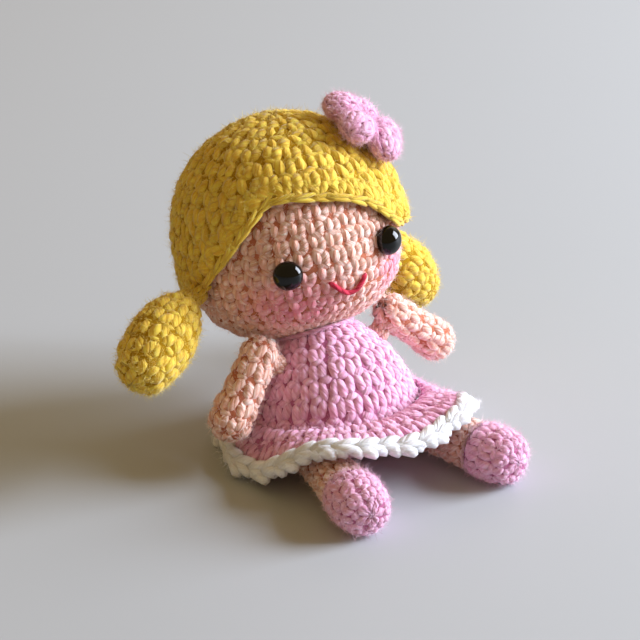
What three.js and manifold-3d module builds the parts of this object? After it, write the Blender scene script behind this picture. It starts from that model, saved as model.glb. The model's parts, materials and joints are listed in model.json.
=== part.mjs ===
// Crochet doll, sitting: stuffed head, body, arms and legs, a flared skirt with a white
// scalloped edge, a yellow hair cap with two pigtails, bead eyes and a sewn smile.
// Millimetres, +Z up. The doll faces -Y, so its right hand is on the -X side.
// The origin is the middle of the flat seat under the body.

import * as THREE from 'three';
import { mergeVertices } from 'three/addons/utils/BufferGeometryUtils.js';
import Module from 'manifold-3d';

const wasm = await Module();
wasm.setup();

// Clearances and yarn
const GAP = 0.3; // between pieces that touch
const FABRIC = 1.7; // thickness of the crocheted fabric
const SEWING_YARN_RADIUS = 0.4; // of the yarn that sews the pieces together
const FLAT = 0.5; // depth to which the forms are flattened by the ground

// Body, a bell bent backwards by the heavy head
const BODY_LENGTH = 23.1; // along its bent axis, seat to neck
const BODY_LEAN = 28; // degrees at the neck
const SEAT_RADIUS = 11;
const HIP_HEIGHT = 3.6;
const HIP_RADIUS = 16.4;
const WAIST_HEIGHT = 8;
const WAIST_RADIUS = 18.6;
const CHEST_HEIGHT = 17;
const CHEST_RADIUS = 14;
const NECK_RADIUS = 8;
const NECK_OPENING = 5.5; // radius of the hole through which the stuffing goes in

// Head, a ball about the axis of the neck that swells towards the cheeks
const HEAD_RADIUS = 21.4; // at the crown
const HEAD_PITCH = 11; // degrees that the face looks up
const CHEEK_SWELL = 3.4; // beyond the crown's radius
const CHEEK_ANGLE = 48; // degrees from the neck to the fullest round
const CHEEK_SPREAD = 30; // degrees over which the swell fades
const FACE_TURN = -5; // degrees from straight ahead to the nose line, less than 0 to the right
const EYE_AZIMUTH = 29; // degrees either side of the nose line
const EYE_LATITUDE = { right: -8.2, left: -3.8 }; // degrees above the head's equator
const EYE_DIAMETER = 6;
const EYE_HEIGHT = 3.2; // dome above the fabric
const EYE_WIDEST_HEIGHT = 1.4;
const EYE_BASE_DIAMETER = 5;
const POST_DIAMETER = 2;
const POST_LENGTH = 5.1; // below the fabric's face
const WASHER_DIAMETER = 7.5;
const WASHER_THICKNESS = 0.8;
// Azimuths and latitudes that the sewn smile goes through, degrees
const SMILE = [
  [-15, -15],
  [-10.4, -18.8],
  [-5.4, -22.9],
  [-2.6, -23.2],
  [1.6, -21.1],
  [5.4, -17.6],
  [7, -13.9],
];
const SMILE_THREAD_RADIUS = 0.5;

// Hair: its points are azimuths and latitudes in degrees
const HAIR_THICKNESS = 1.8;
const TEMPLES = { right: [-83, -19], left: [106, -22.5] }; // where the pigtails are sewn on
const HAIRLINE = [
  [-180, -40],
  [-155, -37],
  [-130, -31],
  [-105, -24.5],
  TEMPLES.right,
  [-76.5, -12.6],
  [-68, -5],
  [-59, 4.3],
  [-49, 16.8],
  [-40, 26.5], // the parting, from which the fringe sweeps to the doll's left
  [-31, 27],
  [-21, 26.4],
  [-10.5, 25.3],
  [0, 22.8],
  [11, 18.8],
  [20, 14.2],
  [26.4, 6.8],
  [31, 3],
  [40, 0],
  [56, -2.5],
  [80, -12],
  TEMPLES.left,
  [130, -31],
  [155, -37],
  [180, -40],
];
const FRINGE_SWELL = 1.3; // the swept fringe is thicker than the rest of the hair
const FRINGE_THICKEST = [60, 18];
const FRINGE_SPREAD = 25; // degrees over which it thins out
const HAIR_EDGE_BULGE = 1.5; // degrees
const PIGTAIL_LENGTH = 26;
const PIGTAIL_ROOT_RADIUS = 2.6;
const PIGTAIL_NECK_RADIUS = 5;
const PIGTAIL_NECK_REACH = 3; // along the pigtail from its root
const PIGTAIL_RADIUS = 7.2;
const PIGTAIL_WIDEST_REACH = 10.8;
const PIGTAIL_TIP_RADIUS = 6.1;
const PIGTAIL_TIP_REACH = 17.4;
const PIGTAIL_DROOP = { right: 28, left: 48.5 }; // degrees below the head's level
const PIGTAIL_FORWARD = { right: 22, left: -11 }; // degrees forward of straight sideways

// Flower, seen from above: its centre on the hair and its petals
const FLOWER_AZIMUTH = 51;
const FLOWER_LATITUDE = 46.5;
const PETALS = 5;
const PETAL_RADIUS = 3.9;
const PETAL_THICKNESS = 5;
const PETAL_CIRCLE = 6; // radius of the circle of petal centres
const PETAL_CUP = 20; // degrees that each petal tips in
const FLOWER_CENTRE_RADIUS = 2.8;

// Arms
const ARM_ROOT_RADIUS = 4;
const ARM_RADIUS = 4.1;
const HAND_RADIUS = 4.6;
const ARM_LENGTH = 23.2;
const ARM_WIDEST_REACH = 8.8; // along the arm from its root
const SHOULDER_HEIGHT = 18.5; // along the body's axis
const SHOULDER_TURN = 14; // degrees that each shoulder is forward of the body's side
const ARM_SPREAD = { right: 42, left: 53 }; // degrees out from straight down
const ARM_FORWARD = { right: 18, left: 0 }; // degrees forward of straight sideways
const ARM_BEND = 7; // degrees that the arm curves in along its length

// Legs and shoes
const HIP_OUT = 12.5;
const HIP_FORWARD = 13.5;
const HIP_UP = 4.7;
const THIGH_RADIUS = 4.5; // at the hip, under the skirt
const LEG_RADIUS = 5.2;
const LEG_SPLAY = 12.3; // degrees
const LEG_REACH = 21.2; // hip to the middle of the shoe
const SHOE_RADIUS = 5.9;
const SHOE_LENGTH = 11;
const SHOE_WIDEST_REACH = 4.6; // from the ankle
const SHOE_TOE_RADIUS = 5.1;
const SHOE_TOE_REACH = 8.6;

// Skirt and its edge
const HEM_RADIUS = 24.1;
const HEM_FORWARD = { front: 6, back: 3.5 }; // the sitting doll's skirt is pushed forward
const HEM_SIDE_HEIGHT = 2.9;
const HEM_FRONT_HEIGHT = 11.8;
const HEM_FALL = 3.6; // leg widths over which the hem comes down beside a leg
const SKIRT_SWELL = 1; // how far the skirt arches up over the lap
const SKIRT_SAG = -1.4; // and hangs down at the back
const HEM_RIPPLES = 11;
const HEM_RIPPLE = 0.5;
const SCALLOPS = 22;
const SCALLOP_DEPTH = 1.9;
const EDGE_WIDTH = 1.5; // white yarn between the hem and the scallops
const EDGE_THICKNESS = 2.2;
const EDGE_FLAT_SHARE = 0.6; // of its width, before it rounds off

// How finely the forms are drawn: sides of the round ones, and steps along them
const HEAD_SIDES = 28;
const BODY_SIDES = 28;
const PIGTAIL_SIDES = 18;
const SHOE_SIDES = 18;
const EYE_SIDES = 18;
const LEG_SIDES = 16;
const ARM_SIDES = 14;
const PETAL_SIDES = 12;
const SEAM_SIDES = 6;
const LINING_SIDES = 20; // inside the head
const FILLING_SIDES = 16; // inside the body
const LIMB_FILLING_SIDES = 10;
const HOLE_SIDES = 10;
const HAIR_AROUND = 54;
const HAIR_DOWN = 10;
const SKIRT_AROUND = 48;
const SKIRT_ACROSS = 3;
const STEPS_PER_SCALLOP = 4;
const EYE_STEPS = 4;
const SMILE_STEPS = 14;
const PROFILE_STEPS = 12;
const BODY_STEPS = 16;

const HALF_TURN = 180; // degrees
const QUARTER_TURN = 90;
const SAME_POINT = 1e-4; // points closer than this are one
const THINNEST = 0.05; // radius that a filling narrows to

const rad = THREE.MathUtils.degToRad;
const degrees = THREE.MathUtils.radToDeg;
const smooth = THREE.MathUtils.smoothstep;

// Materials, one for each yarn and plastic
const yarn = (color) => new THREE.MeshStandardMaterial({ color, roughness: 0.95, metalness: 0 });
const skinYarn = yarn('#e0b198');
const hairYarn = yarn('#edc83c');
const pinkYarn = yarn('#dfa0bd');
const whiteYarn = yarn('#f3f1ec');
const redThread = yarn('#d8324e');
const fibre = yarn('#f4f2ee');
const blackPlastic = new THREE.MeshStandardMaterial({ color: '#050506', roughness: 0.08 });
const washerPlastic = new THREE.MeshStandardMaterial({ color: '#e9e9e6', roughness: 0.4 });

const doll = new THREE.Group();
const origin = new THREE.Vector3();

function place(parent, name, geometry, material) {
  const mesh = new THREE.Mesh(geometry, material);
  mesh.name = name;
  parent.add(mesh);
  return mesh;
}

// Booleans
function toManifold(geometry) {
  const bare = geometry.clone();
  for (const name of Object.keys(bare.attributes)) {
    if (name !== 'position') bare.deleteAttribute(name);
  }
  const merged = mergeVertices(bare, SAME_POINT);
  const vertProperties = new Float32Array(merged.attributes.position.array);
  const triVerts = new Uint32Array(merged.index.array);
  return new wasm.Manifold(new wasm.Mesh({ numProp: 3, vertProperties, triVerts }));
}

function toGeometry(solid) {
  const mesh = solid.getMesh();
  const geometry = new THREE.BufferGeometry();
  geometry.setAttribute('position', new THREE.BufferAttribute(mesh.vertProperties, 3));
  geometry.setIndex(new THREE.BufferAttribute(mesh.triVerts, 1));
  return geometry;
}

function cut(geometry, ...tools) {
  const left = tools.reduce((solid, tool) => solid.subtract(toManifold(tool)), toManifold(geometry));
  return toGeometry(left);
}

function join(...geometries) {
  return toGeometry(geometries.map(toManifold).reduce((whole, piece) => whole.add(piece)));
}

// A unit vector at an azimuth and latitude, both in degrees, with azimuth 0 straight ahead
function direction(azimuth, latitude) {
  const a = rad(azimuth);
  const e = rad(latitude);
  return new THREE.Vector3(Math.sin(a) * Math.cos(e), -Math.cos(a) * Math.cos(e), Math.sin(e));
}

// Turns geometry made along +Z so that it points along a direction, and moves it to a point
function aim(geometry, along, point) {
  const turn = new THREE.Quaternion().setFromUnitVectors(new THREE.Vector3(0, 0, 1), along);
  return geometry.applyQuaternion(turn).translate(point.x, point.y, point.z);
}

function cylinder(radius, from, to, sides = LINING_SIDES) {
  const geometry = new THREE.CylinderGeometry(radius, radius, from.distanceTo(to), sides);
  const middle = from.clone().add(to).multiplyScalar(0.5);
  return aim(geometry.rotateX(Math.PI / 2), to.clone().sub(from).normalize(), middle);
}

function ball(radius, centre, sides) {
  return new THREE.SphereGeometry(radius, sides, sides / 2).translate(centre.x, centre.y, centre.z);
}

// How far the head reaches from its centre, at an angle from the neck in degrees
function headReach(angle) {
  return HEAD_RADIUS + CHEEK_SWELL * Math.exp(-(((angle - CHEEK_ANGLE) / CHEEK_SPREAD) ** 2));
}

// How far below the head's centre a ring about the neck's axis meets the head's form
function headDrop(ringRadius, standOff) {
  const drop = (angle) => Math.sqrt((headReach(angle) + standOff) ** 2 - ringRadius ** 2);
  const angleAt = (height) => degrees(Math.atan2(ringRadius, height));
  return drop(angleAt(drop(angleAt(drop(0)))));
}

// The head's form, let out by a distance, with its crown towards one way
function headForm(letOut, sides, crownWay, centre) {
  const form = ball(1, origin, sides).rotateX(Math.PI / 2);
  const points = form.attributes.position;
  const down = new THREE.Vector3(0, 0, -1);
  for (let i = 0; i < points.count; i += 1) {
    const way = new THREE.Vector3().fromBufferAttribute(points, i).normalize();
    way.multiplyScalar(headReach(degrees(way.angleTo(down))) + letOut);
    points.setXYZ(i, way.x, way.y, way.z);
  }
  return aim(form, crownWay, centre);
}

// Half spaces, as boxes larger than the doll
const BEYOND = 10 * BODY_LENGTH;

function below(height) {
  return new THREE.BoxGeometry(BEYOND, BEYOND, BEYOND).translate(0, 0, height - BEYOND / 2);
}

function above(height) {
  return below(height).translate(0, 0, BEYOND);
}

// Skins a grid of points, rows[i][j], closed round in j. Rows of one point are poles.
function skin(rows, closedBothWays = false) {
  const positions = [];
  const starts = rows.map((row) => {
    const start = positions.length / 3;
    row.forEach((point) => positions.push(point.x, point.y, point.z));
    return start;
  });
  const index = [];
  const steps = closedBothWays ? rows.length : rows.length - 1;
  for (let i = 0; i < steps; i += 1) {
    const next = (i + 1) % rows.length;
    const sides = Math.max(rows[i].length, rows[next].length);
    for (let j = 0; j < sides; j += 1) {
      const k = (j + 1) % sides;
      const a = starts[i] + (rows[i].length > 1 ? j : 0);
      const b = starts[i] + (rows[i].length > 1 ? k : 0);
      const c = starts[next] + (rows[next].length > 1 ? k : 0);
      const d = starts[next] + (rows[next].length > 1 ? j : 0);
      if (a !== b) index.push(a, b, c);
      if (c !== d) index.push(a, c, d);
    }
  }
  const geometry = new THREE.BufferGeometry();
  geometry.setAttribute('position', new THREE.Float32BufferAttribute(positions, 3));
  geometry.setIndex(index);
  return geometry;
}

// A round form about an axis: profile points are (radius, distance along the axis) and
// frameAt(distance) gives the centre and the two directions across the axis there
function roundForm(profile, frameAt, sides) {
  const rows = profile.map((point) => {
    const { centre, across, back } = frameAt(point.y);
    if (point.x < SAME_POINT) return [centre];
    return Array.from({ length: sides }, (_, j) => {
      const angle = (2 * Math.PI * j) / sides;
      return centre.clone()
        .addScaledVector(across, point.x * Math.cos(angle))
        .addScaledVector(back, point.x * Math.sin(angle));
    });
  });
  return skin(rows);
}

// The same profile drawn in by a distance, measured square to it, for the inside of a cover
function inset(profile, distance) {
  return profile.map((point, i) => {
    const before = profile[Math.max(i - 1, 0)];
    const after = profile[Math.min(i + 1, profile.length - 1)];
    const along = after.clone().sub(before).normalize();
    if (i === 0) return new THREE.Vector2(0, point.y + distance);
    if (i === profile.length - 1) return new THREE.Vector2(0, point.y - distance);
    const radius = Math.max(point.x - distance * along.y, THINNEST);
    return new THREE.Vector2(radius, point.y + distance * along.x);
  });
}

// A smooth profile through points of (radius, distance along), with both ends rounded off
function throughPoints(points, steps) {
  const knots = points.map(([radius, height]) => new THREE.Vector2(radius, height));
  const roundOff = (pole, beside) => new THREE.Vector2(
    beside.x * Math.SQRT1_2,
    THREE.MathUtils.lerp(beside.y, pole.y, Math.SQRT1_2),
  );
  const first = roundOff(knots[0], knots[1]);
  const last = roundOff(knots[knots.length - 1], knots[knots.length - 2]);
  const path = new THREE.SplineCurve([knots[0], first, ...knots.slice(1, -1), last, knots[knots.length - 1]]);
  const drawn = path.getPoints(steps);
  drawn[0].x = 0;
  drawn[drawn.length - 1].x = 0;
  return drawn;
}

// An axis bent to an even curve: it starts upright and leans back by the full lean at its end
function bentAxis(length, lean) {
  const curve = rad(lean) / length;
  return (s) => {
    const bend = curve * THREE.MathUtils.clamp(s, 0, length);
    const past = s - THREE.MathUtils.clamp(s, 0, length);
    const along = new THREE.Vector3(0, Math.sin(bend), Math.cos(bend));
    const centre = new THREE.Vector3(0, (1 - Math.cos(bend)) / curve, Math.sin(bend) / curve);
    centre.addScaledVector(along, past);
    const across = new THREE.Vector3(1, 0, 0);
    const back = new THREE.Vector3().crossVectors(along, across);
    return { centre, across, back, along };
  };
}

const bodyAxis = bentAxis(BODY_LENGTH, BODY_LEAN);
const neck = bodyAxis(BODY_LENGTH);
const headSeat = headDrop(NECK_RADIUS, 0) + GAP;
const headCentre = neck.centre.clone().addScaledVector(neck.along, headSeat);

const head = new THREE.Group();
head.position.copy(headCentre);
head.rotation.x = -rad(HEAD_PITCH);
doll.add(head);
head.updateMatrix();
const intoHead = head.matrix.clone().invert();
const crown = neck.along.clone().transformDirection(intoHead);
const throat = crown.clone().negate();

// The point of the head's form on a way out of its centre, let out by a distance
function onHead(way, letOut) {
  return way.clone().multiplyScalar(headReach(degrees(way.angleTo(throat))) + letOut);
}

// The way square to the head's form there
function squareToHead(way) {
  const angle = degrees(way.angleTo(throat));
  const slope = (headReach(angle + 1) - headReach(angle - 1)) / rad(2);
  const fromThroat = way.clone().multiplyScalar(Math.cos(rad(angle))).sub(throat).normalize();
  return way.clone().multiplyScalar(headReach(angle)).addScaledVector(fromThroat, -slope).normalize();
}

// Hips, one each side, and the way each leg points
const sides = { right: -1, left: 1 };
const hips = {};
const legWays = {};
for (const [name, side] of Object.entries(sides)) {
  hips[name] = new THREE.Vector3(side * HIP_OUT, -HIP_FORWARD, HIP_UP);
  const rise = Math.atan2(SHOE_RADIUS - FLAT - HIP_UP, LEG_REACH);
  legWays[name] = direction(side * LEG_SPLAY, degrees(rise));
}

// Body: a cover open at the neck, with its stuffing
const bodyProfile = throughPoints(
  [
    [0, -FLAT],
    [SEAT_RADIUS, 0],
    [HIP_RADIUS, HIP_HEIGHT],
    [WAIST_RADIUS, WAIST_HEIGHT],
    [CHEST_RADIUS, CHEST_HEIGHT],
    [NECK_RADIUS, BODY_LENGTH],
    [0, BODY_LENGTH + 2 * FABRIC],
  ],
  BODY_STEPS,
);
const headSocket = headForm(GAP, HEAD_SIDES, neck.along, headCentre);
const hipSockets = Object.values(hips).map((hip) => ball(THIGH_RADIUS + 2 * GAP, hip, LEG_SIDES));
const neckHole = cylinder(
  NECK_OPENING,
  neck.centre.clone().addScaledVector(neck.along, -NECK_RADIUS),
  headCentre,
);
const hipLinings = Object.values(hips).map((hip) => ball(THIGH_RADIUS + FABRIC, hip, ARM_SIDES));
const bodyInside = cut(
  roundForm(inset(bodyProfile, FABRIC), bodyAxis, FILLING_SIDES),
  ...hipLinings,
);
const bodyForm = roundForm(bodyProfile, bodyAxis, BODY_SIDES);
place(
  doll,
  'body_cover',
  cut(bodyForm, bodyInside, neckHole, headSocket, ...hipSockets, below(0)),
  pinkYarn,
);
const fillingSockets = Object.values(hips).map((hip) => (
  ball(THIGH_RADIUS + FABRIC + 2 * GAP, hip, ARM_SIDES)
));
const bodyFilling = roundForm(inset(bodyProfile, FABRIC + GAP), bodyAxis, FILLING_SIDES);
const headOverFilling = headForm(FABRIC, HEAD_SIDES, neck.along, headCentre);
place(doll, 'body_stuffing', cut(bodyFilling, headOverFilling, ...fillingSockets), fibre);

// Yarn that sews the head on, in the crease between head and shoulders
const seamRadius = NECK_RADIUS + 2 * (GAP + SEWING_YARN_RADIUS);
const seamDrop = headDrop(seamRadius, GAP + SEWING_YARN_RADIUS);
place(
  doll,
  'neck_seam',
  aim(
    new THREE.TorusGeometry(seamRadius, SEWING_YARN_RADIUS, SEAM_SIDES, BODY_SIDES),
    neck.along,
    headCentre.clone().addScaledVector(neck.along, -seamDrop),
  ),
  pinkYarn,
);

// Skirt: a band of fabric from the waist, lifted in front by the legs
const legAngle = Math.abs(Math.atan2(
  HIP_OUT + (LEG_REACH / 2) * Math.sin(rad(LEG_SPLAY)),
  HIP_FORWARD + (LEG_REACH / 2) * Math.cos(rad(LEG_SPLAY)),
));
const legWidth = Math.atan2(LEG_RADIUS, HEM_RADIUS);

const hemBackHeight = EDGE_THICKNESS / 2 - FLAT;

function hemHeight(angle) {
  const turned = Math.abs(Math.atan2(Math.sin(angle), Math.cos(angle)));
  const besideLeg = legAngle + legWidth;
  const sideways = smooth(turned, besideLeg, besideLeg + HEM_FALL * legWidth);
  const backwards = smooth(turned, Math.PI / 2, Math.PI);
  const onLeg = Math.exp(-(((turned - legAngle) / legWidth) ** 2));
  const front = HEM_FRONT_HEIGHT + onLeg;
  const side = THREE.MathUtils.lerp(HEM_SIDE_HEIGHT, hemBackHeight, backwards);
  return THREE.MathUtils.lerp(front, side, sideways);
}

function hemPoint(angle, outside, lift) {
  const radius = HEM_RADIUS + HEM_RIPPLE * Math.cos(HEM_RIPPLES * angle) + outside;
  const turned = Math.abs(Math.atan2(Math.sin(angle), Math.cos(angle)));
  const backwards = smooth(turned, Math.PI / 2, Math.PI);
  const forward = THREE.MathUtils.lerp(HEM_FORWARD.front, HEM_FORWARD.back, backwards);
  const y = -forward - radius * Math.cos(angle);
  return new THREE.Vector3(radius * Math.sin(angle), y, hemHeight(angle) + lift);
}

// A point of the skirt's middle layer: across runs from 0 at the waist to 1 at the hem
function skirtPoint(angle, across, lift) {
  const waist = bodyAxis(WAIST_HEIGHT);
  const start = waist.centre.clone()
    .addScaledVector(waist.across, (WAIST_RADIUS + GAP) * Math.sin(angle))
    .addScaledVector(waist.back, -(WAIST_RADIUS + GAP) * Math.cos(angle));
  const end = hemPoint(angle, 0, 0);
  const point = start.lerp(end, across);
  const swell = THREE.MathUtils.lerp(SKIRT_SAG, SKIRT_SWELL, (1 + Math.cos(angle)) / 2);
  point.z += lift + swell * Math.sin(Math.PI * across);
  return point;
}

const skirtRows = [];
for (let i = 0; i <= SKIRT_ACROSS; i += 1) skirtRows.push([i / SKIRT_ACROSS, -FABRIC / 2]);
for (let i = SKIRT_ACROSS; i >= 0; i -= 1) skirtRows.push([i / SKIRT_ACROSS, FABRIC / 2]);
const skirtGrid = skirtRows.map(([across, lift]) => (
  Array.from({ length: SKIRT_AROUND }, (_, j) => (
    skirtPoint((2 * Math.PI * j) / SKIRT_AROUND, across, lift)
  ))
));
place(doll, 'skirt', cut(skin(skirtGrid, true), below(0)), pinkYarn);

// White edge: a band round the hem that swells out into scallops
const EDGE_STEPS = SCALLOPS * STEPS_PER_SCALLOP;
const edgeSection = [[0, 0.5], [0, -0.5], [EDGE_FLAT_SHARE, -0.5], [1, 0], [EDGE_FLAT_SHARE, 0.5]];
const edgeGrid = edgeSection.map(([out, up]) => Array.from({ length: EDGE_STEPS }, (_, j) => {
  const angle = (2 * Math.PI * j) / EDGE_STEPS;
  const scallop = Math.sqrt(Math.abs(Math.sin((SCALLOPS * angle) / 2)));
  const outside = GAP + out * (EDGE_WIDTH + SCALLOP_DEPTH * scallop);
  return hemPoint(angle, outside, up * EDGE_THICKNESS);
}));
place(doll, 'skirt_edge', cut(skin(edgeGrid, true), below(0)), whiteYarn);

// Head: a ball open at the neck, pierced for the eyes, with its stuffing
const headHole = cylinder(NECK_OPENING, origin, throat.clone().multiplyScalar(headSeat));
const eyes = Object.entries(sides).map(([name, side]) => {
  const way = direction(FACE_TURN + side * EYE_AZIMUTH, EYE_LATITUDE[name]);
  const square = squareToHead(way);
  const at = (height) => onHead(way, 0).addScaledVector(square, height);
  return { name, square, at };
});
const postHoles = eyes.map(({ at }) => (
  cylinder(POST_DIAMETER / 2 + GAP, at(-HEAD_RADIUS / 2), at(EYE_HEIGHT), HOLE_SIDES)
));
const headOutside = headForm(0, HEAD_SIDES, crown, origin);
const headInside = headForm(-FABRIC, LINING_SIDES, crown, origin);
place(head, 'head_cover', cut(headOutside, headInside, headHole, ...postHoles), skinYarn);

const washerHollows = eyes.map(({ at }) => (
  cylinder(WASHER_DIAMETER / 2 + GAP, at(-POST_LENGTH - GAP), at(0), ARM_SIDES)
));
const headFilling = headForm(-FABRIC - GAP, LINING_SIDES, crown, origin);
place(head, 'head_stuffing', cut(headFilling, ...washerHollows), fibre);

const fabricSag = (WASHER_DIAMETER / 2) ** 2 / (2 * (HEAD_RADIUS - FABRIC)); // over a washer's width
const washerDepth = FABRIC + 3 * GAP + fabricSag;

for (const { name, square, at } of eyes) {
  // Eye: a bead dome with a thin post through the fabric
  const profile = new THREE.Path();
  profile.moveTo(0, -POST_LENGTH);
  profile.lineTo(POST_DIAMETER / 2, -POST_LENGTH);
  profile.lineTo(POST_DIAMETER / 2, GAP);
  profile.lineTo(EYE_BASE_DIAMETER / 2, GAP);
  const rise = EYE_HEIGHT - EYE_WIDEST_HEIGHT;
  profile.absellipse(0, EYE_WIDEST_HEIGHT, EYE_DIAMETER / 2, rise, 0, Math.PI / 2);
  const points = profile.getPoints(EYE_STEPS);
  points[points.length - 1].x = 0;
  const eye = new THREE.LatheGeometry(points, EYE_SIDES).rotateX(Math.PI / 2);
  place(head, `eye_${name}`, aim(eye, square, at(0)), blackPlastic);

  // Washer that locks the post inside the head
  const inner = at(-washerDepth - WASHER_THICKNESS);
  const outer = at(-washerDepth);
  const bore = cylinder(POST_DIAMETER / 2 + GAP, at(-HEAD_RADIUS / 2), at(0), HOLE_SIDES);
  const washer = cut(cylinder(WASHER_DIAMETER / 2, inner, outer, EYE_SIDES), bore);
  place(head, `eye_washer_${name}`, washer, washerPlastic);
}

// Smile: one long stitch of red thread laid on the face
const smilePoints = SMILE.map((point) => onHead(direction(...point), GAP + SMILE_THREAD_RADIUS));
const threadSection = new THREE.Shape().absarc(0, 0, SMILE_THREAD_RADIUS, 0, 2 * Math.PI);
const smile = new THREE.ExtrudeGeometry(threadSection, {
  curveSegments: SEAM_SIDES,
  steps: SMILE_STEPS,
  bevelEnabled: false,
  extrudePath: new THREE.CatmullRomCurve3(smilePoints),
});
place(head, 'mouth_thread', smile, redThread);

// Hair cap: a shell over the head down to the hairline
function hairlineLatitude(azimuth) {
  const after = Math.max(1, HAIRLINE.findIndex(([turned]) => turned >= azimuth));
  const [from, low] = HAIRLINE[after - 1];
  const [to, high] = HAIRLINE[after];
  return THREE.MathUtils.mapLinear(azimuth, from, to, low, high);
}

// A point of the hair on a way out of the head: depth runs from 0 inside to 1 outside
function onHair(way, depth) {
  const fromThickest = degrees(way.angleTo(direction(...FRINGE_THICKEST)));
  const thickness = HAIR_THICKNESS + FRINGE_SWELL * Math.exp(-((fromThickest / FRINGE_SPREAD) ** 2));
  return onHead(way, GAP + depth * thickness);
}

function hairRow(share, depth, lift = 0) {
  if (share === 0) return [onHair(direction(0, QUARTER_TURN), depth)];
  return Array.from({ length: HAIR_AROUND }, (_, j) => {
    const azimuth = (2 * HALF_TURN * j) / HAIR_AROUND - HALF_TURN;
    const latitude = THREE.MathUtils.lerp(QUARTER_TURN, hairlineLatitude(azimuth) + lift, share);
    return onHair(direction(azimuth, latitude), depth);
  });
}

const hairRows = [];
for (let i = 0; i <= HAIR_DOWN; i += 1) hairRows.push(hairRow(i / HAIR_DOWN, 0));
hairRows.push(hairRow(1, 1 / 2, -HAIR_EDGE_BULGE));
for (let i = HAIR_DOWN; i >= 0; i -= 1) hairRows.push(hairRow(i / HAIR_DOWN, 1));
place(head, 'hair_cap', skin(hairRows), hairYarn);

// A straight form on its own +Z axis, from its root sphere's centre
function straightAxis(s) {
  return {
    centre: new THREE.Vector3(0, 0, s),
    across: new THREE.Vector3(1, 0, 0),
    back: new THREE.Vector3(0, 1, 0),
  };
}

// Pigtails: drops of crochet that hang from the temples
const pigtailProfile = throughPoints(
  [
    [0, -PIGTAIL_ROOT_RADIUS],
    [PIGTAIL_ROOT_RADIUS, 0],
    [PIGTAIL_NECK_RADIUS, PIGTAIL_NECK_REACH],
    [PIGTAIL_RADIUS, PIGTAIL_WIDEST_REACH],
    [PIGTAIL_TIP_RADIUS, PIGTAIL_TIP_REACH],
    [0, PIGTAIL_LENGTH - PIGTAIL_ROOT_RADIUS],
  ],
  PROFILE_STEPS,
);
for (const [name, side] of Object.entries(sides)) {
  const pigtail = new THREE.Group();
  const temple = direction(...TEMPLES[name]);
  pigtail.position.copy(onHair(temple, 1))
    .addScaledVector(squareToHead(temple), GAP + PIGTAIL_ROOT_RADIUS);
  const way = direction(side * (QUARTER_TURN - PIGTAIL_FORWARD[name]), -PIGTAIL_DROOP[name]);
  pigtail.quaternion.setFromUnitVectors(new THREE.Vector3(0, 0, 1), way);
  head.add(pigtail);
  place(pigtail, `pigtail_${name}`, roundForm(pigtailProfile, straightAxis, PIGTAIL_SIDES), hairYarn);
}

// Flower: five round petals about a small middle
const flower = new THREE.Group();
const flowerWay = direction(FLOWER_AZIMUTH, FLOWER_LATITUDE);
flower.position.copy(onHair(flowerWay, 1)).addScaledVector(flowerWay, GAP);
flower.quaternion.setFromUnitVectors(new THREE.Vector3(0, 0, 1), squareToHead(flowerWay));
head.add(flower);
flower.updateMatrix();
const petalShape = Array.from({ length: PETALS }, (_, i) => {
  const angle = (2 * Math.PI * i) / PETALS;
  const petal = ball(1, origin, PETAL_SIDES);
  petal.scale(PETAL_RADIUS, PETAL_RADIUS, PETAL_THICKNESS / 2);
  petal.rotateY(rad(PETAL_CUP));
  petal.translate(PETAL_CIRCLE, 0, PETAL_THICKNESS / 2);
  return petal.rotateZ(angle);
});
const flowerMiddle = ball(FLOWER_CENTRE_RADIUS, origin, PETAL_SIDES)
  .translate(0, 0, PETAL_THICKNESS / 2 - FLOWER_CENTRE_RADIUS / 4);
const underFlower = [[origin]];
for (let i = HAIR_DOWN; i >= 0; i -= 1) underFlower.push(hairRow(i / HAIR_DOWN, 1));
const letOut = 1 + GAP / HEAD_RADIUS;
const hairUnderFlower = skin(underFlower)
  .scale(letOut, letOut, letOut)
  .applyMatrix4(flower.matrix.clone().invert());
place(flower, 'flower', cut(join(...petalShape, flowerMiddle), hairUnderFlower), pinkYarn);

// Arms: tubes that swell to a round hand, open at the shoulder for their stuffing
const handEnd = ARM_LENGTH - ARM_ROOT_RADIUS;
const armProfile = throughPoints(
  [
    [0, -ARM_ROOT_RADIUS],
    [ARM_ROOT_RADIUS, 0],
    [ARM_RADIUS, ARM_WIDEST_REACH],
    [HAND_RADIUS, handEnd - HAND_RADIUS],
    [0, handEnd],
  ],
  PROFILE_STEPS,
);
const armAxis = bentAxis(handEnd, ARM_BEND);
const shoulder = bodyAxis(SHOULDER_HEIGHT);
const aboveShoulder = bodyProfile.findIndex((point) => point.y > SHOULDER_HEIGHT);
const [lower, upper] = bodyProfile.slice(aboveShoulder - 1, aboveShoulder + 1);
const bodySlope = Math.atan2(lower.x - upper.x, upper.y - lower.y);
const shoulderRadius = THREE.MathUtils.mapLinear(SHOULDER_HEIGHT, lower.y, upper.y, lower.x, upper.x);
const armStandOff = ARM_RADIUS + 2 * (SEWING_YARN_RADIUS + GAP);
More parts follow.
